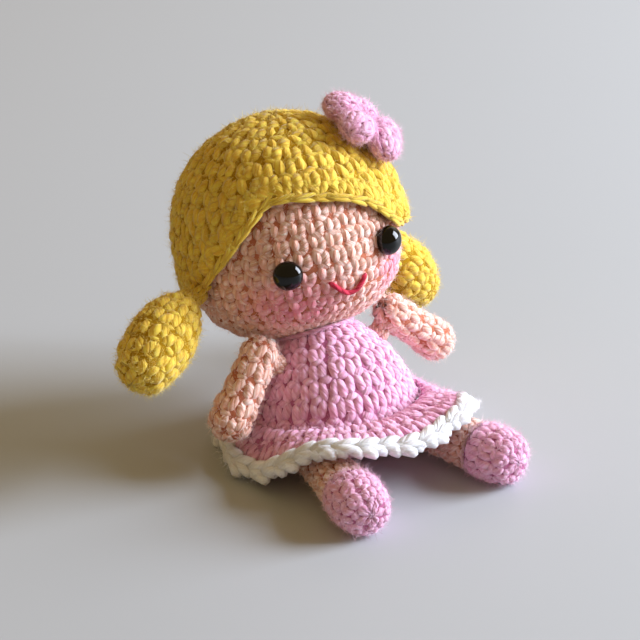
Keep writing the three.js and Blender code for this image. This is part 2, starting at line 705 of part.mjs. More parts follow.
for (const [name, side] of Object.entries(sides)) {
  const turn = rad(SHOULDER_TURN);
  const sideways = shoulder.across.clone().multiplyScalar(side * Math.cos(turn))
    .addScaledVector(shoulder.back, -Math.sin(turn));
  const outward = sideways.clone().multiplyScalar(Math.cos(bodySlope))
    .addScaledVector(shoulder.along, Math.sin(bodySlope));
  const skinPoint = shoulder.centre.clone().addScaledVector(sideways, shoulderRadius);
  const arm = new THREE.Group();
  arm.position.copy(skinPoint).addScaledVector(outward, armStandOff);
  const way = direction(side * (QUARTER_TURN - ARM_FORWARD[name]), ARM_SPREAD[name] - QUARTER_TURN);
  const inwards = new THREE.Vector3(0, 0, -1).addScaledVector(way, way.z).normalize();
  const across = new THREE.Vector3().crossVectors(inwards, way);
  arm.quaternion.setFromRotationMatrix(new THREE.Matrix4().makeBasis(across, inwards, way));
  doll.add(arm);

  const opening = cylinder(
    ARM_ROOT_RADIUS / 2,
    origin,
    new THREE.Vector3(0, 0, -ARM_ROOT_RADIUS * 2),
    HOLE_SIDES,
  );
  const inside = roundForm(inset(armProfile, FABRIC), armAxis, LIMB_FILLING_SIDES);
  const cover = cut(roundForm(armProfile, armAxis, ARM_SIDES), inside, opening);
  place(arm, `arm_${name}`, cover, skinYarn);
  const filling = roundForm(inset(armProfile, FABRIC + GAP), armAxis, LIMB_FILLING_SIDES);
  place(arm, `arm_stuffing_${name}`, filling, fibre);

  const seam = new THREE.TorusGeometry(ARM_ROOT_RADIUS / 2, SEWING_YARN_RADIUS, SEAM_SIDES, ARM_SIDES);
  const seat = skinPoint.clone().addScaledVector(outward, GAP + SEWING_YARN_RADIUS);
  place(doll, `shoulder_seam_${name}`, aim(seam, outward, seat), skinYarn);
}

// Legs: a shoe worked first, then the leg, stuffed together
const ankle = LEG_REACH - SHOE_LENGTH / 2;
const toe = LEG_REACH + SHOE_LENGTH / 2;
const legProfile = throughPoints(
  [
    [0, -THIGH_RADIUS],
    [THIGH_RADIUS, 0],
    [(THIGH_RADIUS + LEG_RADIUS) / 2, ankle / 2],
    [LEG_RADIUS, ankle],
    [0, ankle + LEG_RADIUS],
  ],
  PROFILE_STEPS,
);
const shoeProfile = throughPoints(
  [
    [0, ankle - FABRIC],
    [LEG_RADIUS + GAP, ankle],
    [SHOE_RADIUS, ankle + SHOE_WIDEST_REACH],
    [SHOE_TOE_RADIUS, ankle + SHOE_TOE_REACH],
    [0, toe],
  ],
  PROFILE_STEPS,
);
for (const name of Object.keys(sides)) {
  const way = legWays[name];
  const leg = new THREE.Group();
  leg.position.copy(hips[name]);
  leg.quaternion.setFromUnitVectors(new THREE.Vector3(0, 0, 1), way);
  doll.add(leg);
  leg.updateMatrix();
  const ground = below(0).applyMatrix4(leg.matrix.clone().invert());

  const legOuter = roundForm(legProfile, straightAxis, LEG_SIDES);
  const legFilling = roundForm(inset(legProfile, FABRIC), straightAxis, LIMB_FILLING_SIDES);
  const shoeOuter = roundForm(shoeProfile, straightAxis, SHOE_SIDES);
  const shoeFilling = roundForm(inset(shoeProfile, FABRIC), straightAxis, LIMB_FILLING_SIDES);
  const ankleHole = cylinder(
    LEG_RADIUS - FABRIC,
    new THREE.Vector3(0, 0, ankle - LEG_RADIUS),
    new THREE.Vector3(0, 0, ankle + LEG_RADIUS),
    ARM_SIDES,
  );
  const hipEnd = new THREE.Vector3(0, 0, -2 * THIGH_RADIUS);
  const hipHole = cylinder(THIGH_RADIUS / 2, origin, hipEnd, HOLE_SIDES);
  const ankleSide = above(ankle);
  const shoeSide = below(ankle + GAP);
  place(leg, `leg_${name}`, cut(legOuter, legFilling, ankleHole, hipHole, ankleSide), skinYarn);
  place(leg, `shoe_${name}`, cut(shoeOuter, shoeFilling, ankleHole, shoeSide, ground), pinkYarn);

  const narrow = cylinder(
    LEG_RADIUS - FABRIC - GAP,
    new THREE.Vector3(0, 0, ankle - LEG_RADIUS),
    new THREE.Vector3(0, 0, ankle + LEG_RADIUS),
    ARM_SIDES,
  );
  const packed = (profile) => (
    roundForm(inset(profile, FABRIC + GAP), straightAxis, LIMB_FILLING_SIDES)
  );
  const upperFilling = cut(packed(legProfile), ankleSide);
  const lowerFilling = cut(packed(shoeProfile), shoeSide);
  place(leg, `leg_stuffing_${name}`, join(upperFilling, narrow, lowerFilling), fibre);
}

export default doll;
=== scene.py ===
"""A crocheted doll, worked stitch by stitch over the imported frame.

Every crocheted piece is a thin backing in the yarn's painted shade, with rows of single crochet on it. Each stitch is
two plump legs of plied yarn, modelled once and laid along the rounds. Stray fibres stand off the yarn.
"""

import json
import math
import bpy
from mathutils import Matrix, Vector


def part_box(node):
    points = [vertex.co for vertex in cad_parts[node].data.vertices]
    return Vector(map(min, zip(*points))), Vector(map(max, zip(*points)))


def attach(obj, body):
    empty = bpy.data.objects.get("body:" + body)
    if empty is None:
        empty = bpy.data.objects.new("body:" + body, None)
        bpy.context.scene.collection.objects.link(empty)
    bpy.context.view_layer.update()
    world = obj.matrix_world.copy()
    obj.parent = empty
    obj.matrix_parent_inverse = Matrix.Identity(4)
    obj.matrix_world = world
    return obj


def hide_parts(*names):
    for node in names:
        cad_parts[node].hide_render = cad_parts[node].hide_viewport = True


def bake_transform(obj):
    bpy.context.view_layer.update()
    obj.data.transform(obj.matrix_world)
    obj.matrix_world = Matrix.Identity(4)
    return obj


bl_info = {
    "name": "Crochet Doll",
    "version": (1, 0, 0),
    "blender": (4, 5, 0),
    "location": "3D View > Sidebar > Crochet Doll",
    "description": "Crochets a sitting doll stitch by stitch over its frame",
    "category": "Add Mesh",
}

import bpy
import numpy as np
from mathutils import Matrix, Vector, noise
from mathutils.bvhtree import BVHTree

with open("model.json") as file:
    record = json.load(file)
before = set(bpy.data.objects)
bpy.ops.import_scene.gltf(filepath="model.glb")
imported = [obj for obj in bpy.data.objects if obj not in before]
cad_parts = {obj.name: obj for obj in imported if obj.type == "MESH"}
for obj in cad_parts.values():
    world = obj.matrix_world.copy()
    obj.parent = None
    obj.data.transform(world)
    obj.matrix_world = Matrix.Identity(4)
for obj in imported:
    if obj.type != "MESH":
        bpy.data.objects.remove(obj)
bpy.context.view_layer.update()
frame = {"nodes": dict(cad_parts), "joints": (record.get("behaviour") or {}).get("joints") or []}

MM = 0.001
SIDES = ("right", "left")
JOINTS = {joint["name"]: joint for joint in frame["joints"]}
COLUMNS = 96  # points round each form
ROWS = 56  # points along it
TURNS = np.arange(COLUMNS) * 2 * math.pi / COLUMNS  # the angle of each of them
AWAY = 0.1  # further than any of the doll's pieces reaches
WELD = 0.005 * MM  # points that are nearer than this are one
GROUND = 0.02 * MM  # nothing goes lower
UP = np.array([0, 0, 1.0])


def unit(v):
    v = np.asarray(v, float)
    return v / np.maximum(np.linalg.norm(v, axis=-1, keepdims=True), 1e-12)


def joint_point(name):
    return np.array(JOINTS[name]["pos_m"], float)


# The head's own directions, from the joints of the neck and the pigtails
HEAD = joint_point("neck_turn")
NECK_WAY = unit(JOINTS["neck_turn"]["axis"])
HEAD_ACROSS = np.array([1.0, 0.0, 0.0])
HEAD_BACK = unit(JOINTS["right_pigtail_root"]["axis"])
HEAD_UP = np.cross(HEAD_ACROSS, HEAD_BACK)


def node_points(name):
    mesh = frame["nodes"][name].data
    points = np.zeros(len(mesh.vertices) * 3)
    mesh.vertices.foreach_get("co", points)
    return points.reshape(-1, 3)


def head_way(azimuth, latitude):
    """Unit vectors from the head's centre. Azimuth 0 is the nose, and positive is the doll's left."""
    a, e = np.radians(azimuth), np.radians(latitude)
    a, e = np.broadcast_arrays(a, e)
    flat = np.sin(a)[..., None] * HEAD_ACROSS - np.cos(a)[..., None] * HEAD_BACK
    return np.cos(e)[..., None] * flat + np.sin(e)[..., None] * HEAD_UP


def head_angles(points):
    way = unit(points - HEAD)
    azimuth = np.degrees(np.arctan2(way @ HEAD_ACROSS, -(way @ HEAD_BACK)))
    return azimuth, np.degrees(np.arcsin(np.clip(way @ HEAD_UP, -1, 1)))


def farthest(name, point):
    """The point of a node that is farthest from a point."""
    points = node_points(name)
    return points[np.argmax(np.linalg.norm(points - point, axis=1))]


HEAD_RADIUS = (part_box("head_cover")[1].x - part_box("head_cover")[0].x) / 2
INSIDE = HEAD_RADIUS * 0.7  # no outer face is nearer to the head's centre


def linear(colour):
    """An sRGB hex colour as linear RGBA."""
    values = [int(colour[i : i + 2], 16) / 255 for i in (1, 3, 5)]
    return [v / 12.92 if v <= 0.04045 else ((v + 0.055) / 1.055) ** 2.4 for v in values] + [1.0]


# Settings that a user would change


def number(name, description, default, **kind):
    return bpy.props.FloatProperty(name=name, description=description, default=default, **kind)


def length(name, description, default):
    return number(name, description, default, unit="LENGTH", subtype="DISTANCE")


def angle(name, description, degrees):
    return number(name, description, math.radians(degrees), subtype="ANGLE")


def colour(name, description, default):
    return bpy.props.FloatVectorProperty(
        name=name, description=description, default=linear(default), size=4, subtype="COLOR"
    )


class YarnSettings(bpy.types.PropertyGroup):
    """The yarn and the gauge that the doll is worked in"""

    stitch_width: length("Stitch width", "Width of one single crochet", 3.55 * MM)
    row_height: length("Row height", "Height of one round", 3.1 * MM)
    strand_width: length("Strand width", "Width of a stitch's leg", 2.1 * MM)
    strand_depth: length("Strand depth", "Thickness of a stitch's leg", 1.6 * MM)
    leg_length: number("Leg length", "In rows", 1.24)
    bar_width: length("Bar width", "Width of the bar between two legs", 1.9 * MM)
    bar_sink: length("Bar sink", "How far a bar lies under the legs", 0.15 * MM)
    sink: length("Sink", "How far a leg's middle lies under the fabric's face", 0.6 * MM)
    dive: length("Dive", "How far a leg's ends go in", 0.6 * MM)
    lean: angle("Lean", "Angle of a leg", 15)
    lumps: length("Lumps", "Unevenness of a stuffed form", 0.3 * MM)
    backing_depth: length("Backing depth", "How far the fabric behind the stitches is drawn in", 0.5 * MM)
    fibre_length: length("Fibre length", "Length of a stray fibre", 1.2 * MM)
    fibre_width: length("Fibre width", "Width of a stray fibre", 0.055 * MM)
    seam_radius: length("Sewing yarn", "Radius of the yarn that sews the pieces on", 0.45 * MM)
    smile_radius: length("Smile thread", "Radius of the red thread", 0.5 * MM)


class ColourSettings(bpy.types.PropertyGroup):
    """Colours of the yarns: the lit ridges, and painted shade in the grooves between plies and in the gaps between
    stitches
    """

    # Each yarn comes as lit and shaded copies: the ridge colour is its lit face, and the grooves' and gaps' colours are
    # painted shade
    skin_ridge: colour("Skin", "Lit face of the skin yarn", "#ffe8e2")
    skin_groove: colour("Skin grooves", "Between the plies", "#e6a68e")
    skin_gap: colour("Skin gaps", "Between the stitches", "#c8785c")
    hair_ridge: colour("Hair", "Lit face of the hair yarn", "#f2dc56")
    hair_groove: colour("Hair grooves", "Between the plies", "#e0b236")
    hair_gap: colour("Hair gaps", "Between the stitches", "#bc9018")
    pink_ridge: colour("Pink", "Lit face of the pink yarn", "#ffd2ee")
    pink_groove: colour("Pink grooves", "Between the plies", "#eaa6cc")
    pink_gap: colour("Pink gaps", "Between the stitches", "#c2709a")
    white_ridge: colour("White", "Lit face of the white yarn", "#f3f6fc")
    white_groove: colour("White grooves", "Between the plies", "#e3e3e9")
    white_gap: colour("White gaps", "Between the stitches", "#c6c4ca")
    red_ridge: colour("Red", "Lit face of the red thread", "#e03e5c")
    red_groove: colour("Red grooves", "Between the plies", "#b81f3c")
    blush: colour("Blush", "Chalk on the cheeks", "#f680a8")
    floor: colour("Floor", "The surface that the doll sits on", "#b2b7bc")
    wall: colour("Wall", "The backdrop", "#c6cbd3")


class StageSettings(bpy.types.PropertyGroup):
    """The camera and the lamps"""

    azimuth: angle("Azimuth", "Camera's angle round the doll", -34.8)
    elevation: angle("Elevation", "Camera's angle above level", 26)
    distance: length("Distance", "From the target to the camera", 520 * MM)
    lens: number("Lens", "Focal length in millimetres", 144.1)
    window_power: number("Window", "Power of the window light", 33.0)
    sky: number("Sky", "Strength of the room's light", 0.39)


# Blender helpers


def select_only(*objects):
    bpy.ops.object.select_all(action="DESELECT")
    for made in objects:
        made.select_set(True)
    bpy.context.view_layer.objects.active = objects[0]


def join(name, *objects):
    select_only(*objects)
    bpy.ops.object.join()
    made = bpy.context.object
    made.name = name
    made.data.name = name
    return made


def form(name, points, faces, material):
    mesh = bpy.data.meshes.new(name)
    mesh.from_pydata(points.reshape(-1, 3).tolist(), [], faces)
    return new_object(name, mesh, material)


def set_values(mesh, **values):
    for key, value in values.items():
        mesh.attributes.new(key, "FLOAT", "POINT").data.foreach_set("value", value.astype(np.float32))


def new_object(name, mesh, material):
    made = bpy.data.objects.new(name, mesh)
    bpy.context.scene.collection.objects.link(made)
    mesh.materials.clear()
    mesh.materials.append(material)
    return made


def smooth(made):
    select_only(made)
    bpy.ops.object.shade_smooth()
    return made


def edit_all():
    """Edits the active mesh, with all of it selected."""
    bpy.ops.object.mode_set(mode="EDIT")
    bpy.ops.mesh.select_all(action="SELECT")


def clean(made, weld=False, outward=True, shrink=0.0):
    """Welds a mesh's doubled points, turns its normals out and draws its skin in."""
    select_only(made)
    edit_all()
    if weld:
        bpy.ops.mesh.remove_doubles(threshold=WELD)
    if outward:
        bpy.ops.mesh.normals_make_consistent(inside=False)
    if shrink:
        bpy.ops.transform.shrink_fatten(value=-shrink)
    bpy.ops.object.mode_set(mode="OBJECT")
    return smooth(made)


def apply_modifiers(made):
    select_only(made)
    for modifier in list(made.modifiers):
        bpy.ops.object.modifier_apply(modifier=modifier.name)
    return smooth(made)


def flatten(made):
    """Nothing goes below the ground that the doll sits on."""
    points = np.zeros(len(made.data.vertices) * 3)
    made.data.vertices.foreach_get("co", points)
    points[2::3] = np.maximum(points[2::3], GROUND)
    made.data.vertices.foreach_set("co", points)
    made.data.update()


def tube_faces(rows, columns):
    """The faces of a grid of points that is closed round."""
    return [
        (i * columns + j, i * columns + k, (i + 1) * columns + k, (i + 1) * columns + j)
        for i in range(rows - 1)
        for j, k in zip(range(columns), [*range(1, columns), 0])
    ]


def finish_piece(made, body, nodes):
    """The piece rides on its body and stands for its nodes."""
    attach(made, body)
    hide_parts(*nodes)
    return made


def add(tree, kind, inputs=None, **settings):
    """Adds a node with its settings, and sets or links its inputs."""
    made = tree.nodes.new(kind)
    for name, value in settings.items():
        setattr(made, name, value)
    for name, value in (inputs or {}).items():
        if isinstance(value, bpy.types.NodeSocket):
            tree.links.new(value, made.inputs[name])
        else:
            made.inputs[name].default_value = value
    return made


# Surfaces that the rounds are worked on


def between(grid, row, column):
    """A grid's values at shares of its rows, and of its columns, which go round."""
    rows, columns = grid.shape[:2]
    i = np.clip(row.astype(int), 0, rows - 2)
    j = column.astype(int) % columns
    k = (j + 1) % columns
    shape = row.shape + (1,) * (grid.ndim - 2)
    u, v = (row - i).reshape(shape), (column - np.floor(column)).reshape(shape)
    low = grid[i, j] * (1 - v) + grid[i, k] * v
    high = grid[i + 1, j] * (1 - v) + grid[i + 1, k] * v
    return low * (1 - u) + high * u


class Surface:
    """A grid of points on a rounded form. Rows go along it and columns go round it."""

    smallest = 2 * MM  # a round that is shorter has no normals of its own
    lump = 9 * MM

    def __init__(self, points, outward=None):
        self.points = points
        around = np.roll(points, -1, axis=1) - np.roll(points, 1, axis=1)
        along = np.gradient(points, axis=0)
        normals = unit(np.cross(around, along))
        if outward is None:
            outward = points - points.mean(axis=(0, 1))
        if (normals * outward).sum() < 0:
            normals = -normals
        steps = np.linalg.norm(np.diff(points, axis=0), axis=2).mean(axis=1)
        self.reach = np.concatenate([[0.0], np.cumsum(steps)])
        self.girth = np.linalg.norm(np.roll(points, -1, axis=1) - points, axis=2).sum(axis=1)
        broad = self.girth >= self.smallest
        for i in np.flatnonzero(~broad):
            near = min(np.flatnonzero(broad), key=lambda k: abs(k - i))
            normals[i] = unit(normals[near].mean(axis=0))
        self.normals = normals

    def lumpy(self, depth, seed):
        """The same surface, made a little uneven as stuffing makes it."""
        if not depth:
            return self
        flat = self.points.reshape(-1, 3) / self.lump
        bumps = np.array([noise.noise(Vector(p) + Vector((seed, 0, 0))) for p in flat])
        moved = self.points + self.normals * (depth * bumps).reshape(self.points.shape[:2])[..., None]
        return Surface(moved, outward=self.normals)

    def at(self, turns, reach):
        """Points and normals at shares of a turn and distances along."""
        rows, columns = self.points.shape[:2]
        row = np.interp(reach, self.reach, np.arange(rows))
        column = np.mod(turns, 1.0) * columns
        return between(self.points, row, column), unit(between(self.normals, row, column))


def node_tree(name):
    mesh = frame["nodes"][name].data
    return BVHTree.FromPolygons([v.co for v in mesh.vertices], [p.vertices for p in mesh.polygons])


def met(tree, middle, way, reach=AWAY):
    """Where a ray that comes in towards a point first meets a form."""
    return tree.ray_cast(Vector(middle + way * AWAY), Vector(-way), reach)[0]


class Shell:
    """The outer face of a shell round the head's centre, carried on where the shell is open."""

    latitudes = np.linspace(89.5, -89.5, ROWS)
    azimuths = np.arange(COLUMNS) * 360 / COLUMNS - 180

    def __init__(self, name, under=None):
        ways = head_way(self.azimuths[None, :], self.latitudes[:, None])
        tree = node_tree(name)
        reach = np.full(ways.shape[:2], np.nan)
        for i, j in np.ndindex(*reach.shape):
            hit = met(tree, HEAD, ways[i, j], AWAY - INSIDE)
            if hit:
                reach[i, j] = np.linalg.norm(np.array(hit) - HEAD)
        missing = np.isnan(reach)
        if under is None:
            angle = np.arccos(np.clip(ways @ -NECK_WAY, -1, 1))
            order = np.argsort(angle[~missing])
            reach[missing] = np.interp(angle[missing], angle[~missing][order], reach[~missing][order])
        else:
            for j in range(COLUMNS):
                last = np.flatnonzero(~missing[:, j])[-1]
                open_rows = missing[:, j]
                reach[open_rows, j] = under.reach[open_rows, j] + reach[last, j] - under.reach[last, j]
        self.reach = reach

    def reach_at(self, azimuth, latitude):
        column = np.mod(azimuth + 180, 360) / 360 * COLUMNS
        row = np.interp(-latitude, -self.latitudes, np.arange(ROWS))
        return between(self.reach, row, column)

    def points(self, azimuth, latitude, rise=0.0):
        azimuth, latitude = np.broadcast_arrays(np.asarray(azimuth, float), np.asarray(latitude, float))
        return HEAD + (self.reach_at(azimuth, latitude) + rise)[..., None] * head_way(azimuth, latitude)

    def under(self, points, rise=0.0):
        """Points of the face on the same ways as other points."""
        return self.points(*head_angles(points), rise)

    def above(self, points):
        """How far points are outside the face."""
        return np.linalg.norm(points - HEAD, axis=-1) - self.reach_at(*head_angles(points))

    def surface(self, lowest=-89.5):
        latitude = np.linspace(89.5, lowest, ROWS)[:, None]
        return Surface(self.points(self.azimuths[None, :], latitude))


def form_surface(name, path, across):
    """The outer face of a node, seen from its own axis: a function of a share from 0 to 1 of its length."""
    tree = node_tree(name)
    shares = (1 - np.cos(np.linspace(0, math.pi, ROWS))) / 2
    grid = np.zeros((ROWS, COLUMNS, 3))
    for i, share in enumerate(shares):
        centre, way = path(share)
        first = unit(across - way * (across @ way))
        second = np.cross(way, first)
        for j, turn in enumerate(TURNS):
            hit = met(tree, centre, first * math.cos(turn) + second * math.sin(turn))
            grid[i, j] = np.array(hit) if hit else centre
    return Surface(grid)


def straight_path(start, end):
    way = unit(end - start)
    return lambda share: (start + (end - start) * share, way)


def bowed_path(start, start_way, end, end_way):
    """A curve that leaves one point in one direction and comes to another."""
    pull = np.linalg.norm(end - start) / 2
    middle = (start + unit(start_way) * pull + end - unit(end_way) * pull) / 2

    def path(share):
        point = (1 - share) ** 2 * start + 2 * share * (1 - share) * middle + share**2 * end
        way = 2 * (1 - share) * (middle - start) + 2 * share * (end - middle)
        return point, unit(way)

    return path


# Stitches


class Template:
    """A modelled shape that is laid many times: its points, faces and UVs."""

    def __init__(self, made):
        mesh = made.data
        self.points = np.array([v.co for v in mesh.vertices])
        self.corners = np.array([loop.vertex_index for loop in mesh.loops])
        self.sizes = np.array([p.loop_total for p in mesh.polygons])
        self.uvs = np.array([corner.uv for corner in mesh.uv_layers[0].data])
        bpy.data.objects.remove(made)


def model_leg():
    """One leg of a stitch, along Y: a plump strand that narrows where it goes into the fabric."""
    bpy.ops.object.select_all(action="DESELECT")
    bpy.ops.mesh.primitive_uv_sphere_add(segments=6, ring_count=5, radius=0.5)
    leg = bpy.context.object
    edit_all()
    bpy.ops.transform.rotate(value=math.pi / 2, orient_axis="X", center_override=(0, 0, 0))
    bpy.ops.mesh.select_all(action="DESELECT")
    bpy.ops.object.mode_set(mode="OBJECT")
    for vertex in leg.data.vertices:
        vertex.select = 0.3 < abs(vertex.co.y) < 0.45
    bpy.ops.object.mode_set(mode="EDIT")
    bpy.ops.transform.resize(value=(1.28, 1.0, 1.28), center_override=(0, 0, 0))
    bpy.ops.object.mode_set(mode="OBJECT")
    return Template(leg)


def copies(name, points, template, material, twist, tint, lift=None, extra=None):
    """One mesh of many laid copies. points is (copies, template points, 3)."""
    count, size = points.shape[:2]
    corners = (template.corners[None, :] + np.arange(count)[:, None] * size).ravel()
    sizes = np.tile(template.sizes, count)
    mesh = bpy.data.meshes.new(name)
    mesh.vertices.add(count * size)
    mesh.loops.add(len(corners))
    mesh.polygons.add(len(sizes))
    mesh.vertices.foreach_set("co", points.reshape(-1).astype(np.float32))
    mesh.loops.foreach_set("vertex_index", corners.astype(np.int32))
    starts = np.concatenate([[0], np.cumsum(sizes)[:-1]])
    mesh.polygons.foreach_set("loop_start", starts.astype(np.int32))
    mesh.polygons.foreach_set("loop_total", sizes.astype(np.int32))
    uvs = np.tile(template.uvs, (count, 1)).reshape(count, -1, 2)
    uvs[..., 1] = uvs[..., 1] * np.broadcast_to(twist, (count,))[:, None]
    layer = mesh.uv_layers.new(name="UVMap")
    layer.data.foreach_set("uv", uvs.reshape(-1).astype(np.float32))
    # lift: how high a point lies in its stitch, from 0 to 1; the material paints shade where it is low
    if lift is None:
        lift = np.tile(template.points[:, 2] + 0.5, count)
    set_values(mesh, tint=np.repeat(tint, size), lift=lift.reshape(-1), **(extra or {}))
    mesh.update(calc_edges=True)
    mesh.validate()
    return smooth(new_object(name, mesh, material))


class Rounds:
    """Stitches in rounds: for each, its place, its width and its height."""

    fewest = 5  # stitches in a round

    def __init__(self, surface, yarn, keep=None, seed=1, drift=0.18, height=None, width=None):
        random = np.random.default_rng(seed)
        broad = width or yarn.stitch_width
        count = max(1, round(surface.reach[-1] / (height or yarn.row_height)))
        step = surface.reach[-1] / count
        turn, reach, width = [], [], []
        phase = random.random()
        for middle in (np.arange(count) + 0.5) * step:
            girth = float(np.interp(middle, surface.reach, surface.girth))
            stitches = max(self.fewest, round(girth / broad))
            phase += drift / stitches
            turn.append((np.arange(stitches) / stitches + phase) % 1)
            reach.append(np.full(stitches, middle))
            width.append(np.full(stitches, girth / stitches))
        self.turn, self.reach, self.width = (np.concatenate(x) for x in (turn, reach, width))
        self.height = np.full(len(self.turn), step)
        if keep is not None:
            kept = keep(surface.at(self.turn, self.reach)[0])
            for key in ("turn", "reach", "width", "height"):
                setattr(self, key, getattr(self, key)[kept])
        self.tint = random.random(len(self.turn))
        self.random = random


UNEVEN_LEAN, UNEVEN_BAR_LEAN = 0.07, 0.12  # in radians
UNEVEN_PLACE, UNEVEN_RISE = 0.03, 0.045  # of a stitch's width and height
UNEVEN_THICKNESS, UNEVEN_LENGTH, UNEVEN_TWIST, UNEVEN_TINT = 0.06, 0.04, 0.12, 0.15
LEG_PLACE = 0.24  # of a stitch's width, from its middle to a leg
BAR_LENGTH = 1.15  # of a stitch's width
ALL_LEAN = 0.05  # radians by which every leg leans to one side
TURNS_OF_PLIES = (3.4, 1.5, 2.4)  # along a right leg, a left leg and a bar


def crochet(kit, name, surface, rounds, colour, opening=1, extra=None, wild=1.0, relief=1.0, long=1.0):
    """Every stitch of the rounds, bent over the surface: two legs, and the bar of the row below between them."""
    yarn = kit.yarn
    count = len(rounds.turn)
    side = np.repeat([-1.0, 1.0, 0.0], count)
    bar = side == 0
    turn, reach, width, height = (np.tile(x, 3) for x in (rounds.turn, rounds.reach, rounds.width, rounds.height))
    tilted, slid, raised, fat, grown = rounds.random.normal(0, 1, (5, 3 * count)) * wild
    scale = width / yarn.stitch_width
    leg_lean = opening * side * yarn.lean + UNEVEN_LEAN * tilted + ALL_LEAN
    lean = np.where(bar, math.pi / 2 + UNEVEN_BAR_LEAN * tilted, leg_lean)
    across = side * LEG_PLACE * width + UNEVEN_PLACE * width * slid
    shift = np.where(bar, 0.5, 0.05 * side) * height + UNEVEN_RISE * height * raised
    thick = np.where(bar, yarn.bar_width, yarn.strand_width * scale) * (1 + UNEVEN_THICKNESS * fat)
    span = np.where(bar, BAR_LENGTH * width, long * yarn.leg_length * height) * (1 + UNEVEN_LENGTH * grown)
    sunk = yarn.sink + np.where(bar, yarn.bar_sink, 0.05 * MM * grown)
    x, y, z = kit.leg.points.T
    run = y[None, :] * span[:, None]
    wide = x[None, :] * thick[:, None]
    dx = wide * np.cos(lean)[:, None] + run * np.sin(lean)[:, None] + across[:, None]
    dy = run * np.cos(lean)[:, None] - wide * np.sin(lean)[:, None] + shift[:, None]
    deep = (z[None, :] * yarn.strand_depth - yarn.dive * (2 * y[None, :]) ** 2) * relief - sunk[:, None] * relief
    girth = np.maximum(np.interp(reach, surface.reach, surface.girth), 4 * MM)
    points, normals = surface.at(turn[:, None] + dx / girth[:, None], reach[:, None] + dy)
    laid = points + normals * deep[..., None]
    # How far out each point stands, from 0 deep in the fabric to 1 at a leg's crown; the material paints shade by it
    lift = (deep / relief + yarn.sink + yarn.dive) / (yarn.dive + yarn.strand_depth / 2)
    values = {key: make(laid.reshape(-1, 3)) for key, make in (extra or {}).items()}
    twist = np.select([side > 0, side < 0], TURNS_OF_PLIES[:2], TURNS_OF_PLIES[2]) * (1 + UNEVEN_TWIST * slid)
    tint = np.clip(np.tile(rounds.tint, 3) + UNEVEN_TINT * tilted, 0, 1)
    return copies(name, laid, kit.leg, kit.materials[colour], twist, tint, np.clip(lift, 0, 1), values)


def ahead_of(path, step=1):
    """Which way a closed path runs at each of its points."""
    return unit(np.roll(path, -step, axis=0) - np.roll(path, step, axis=0))


def rise_of(out, ahead, way):
    """Unit vectors square to an edge's outward and forward ones, on the side of a way."""
    up = unit(np.cross(out, ahead))
    return up * np.sign((up @ way).sum())


def along_path(values, reach, where):
    """Values of a closed path's points, read at distances along it."""
    values = np.vstack([values, values[:1]])
    return np.stack([np.interp(where, reach, values[:, k]) for k in range(3)], axis=-1)


CHAIN_PLACE = 0.42  # mm from the middle of a link to a leg
CHAIN_WIDTH = 0.78  # of the strand that stitches are worked with
CHAIN_DEPTH = 0.8  # likewise
CHAIN_DROOP = 0.5  # mm by which the ends of a leg lie lower
CHAIN_UNEVEN_LEAN = 0.05  # radians
CHAIN_TURNS = 1.8  # of the plies, along a leg


def chain(kit, name, path, ups, colour, pitch, width=1.0, lean=0.38, stretch=1.5):
    """A chain of stitches that lies along a closed path: two legs to a link, leaning to and fro."""
    closed = np.vstack([path, path[:1]])
    reach = np.concatenate([[0], np.cumsum(np.linalg.norm(np.diff(closed, axis=0), axis=1))])
    count = round(reach[-1] / pitch)
    middle = (np.arange(count) + 0.5) * reach[-1] / count
    place = along_path(path, reach, middle)
    up = unit(along_path(ups, reach, middle))
    ahead = ahead_of(place)
    side_way = unit(np.cross(up, ahead))
    random = np.random.default_rng(11)
    x, y, z = kit.leg.points.T
    laid = []
    for side in (-1.0, 1.0):
        turned = side * lean + random.normal(0, CHAIN_UNEVEN_LEAN, count)
        along = np.cos(turned)[:, None] * ahead + np.sin(turned)[:, None] * side_way
        cross = unit(np.cross(along, up))
        centre = place + side_way * (side * CHAIN_PLACE * MM * width)
        run = y[None, :, None] * along[:, None, :] * pitch * stretch
        wide = x[None, :, None] * cross[:, None, :] * kit.yarn.strand_width * CHAIN_WIDTH * width
        droop = CHAIN_DROOP * MM * (2 * y) ** 2
        deep = (z * kit.yarn.strand_depth * CHAIN_DEPTH * width - droop)[None, :, None] * up[:, None, :]
        laid.append(centre[:, None, :] + run + wide + deep)
    tint = np.tile(random.random(count), 2)
    return copies(name, np.concatenate(laid), kit.leg, kit.materials[colour], CHAIN_TURNS, tint)


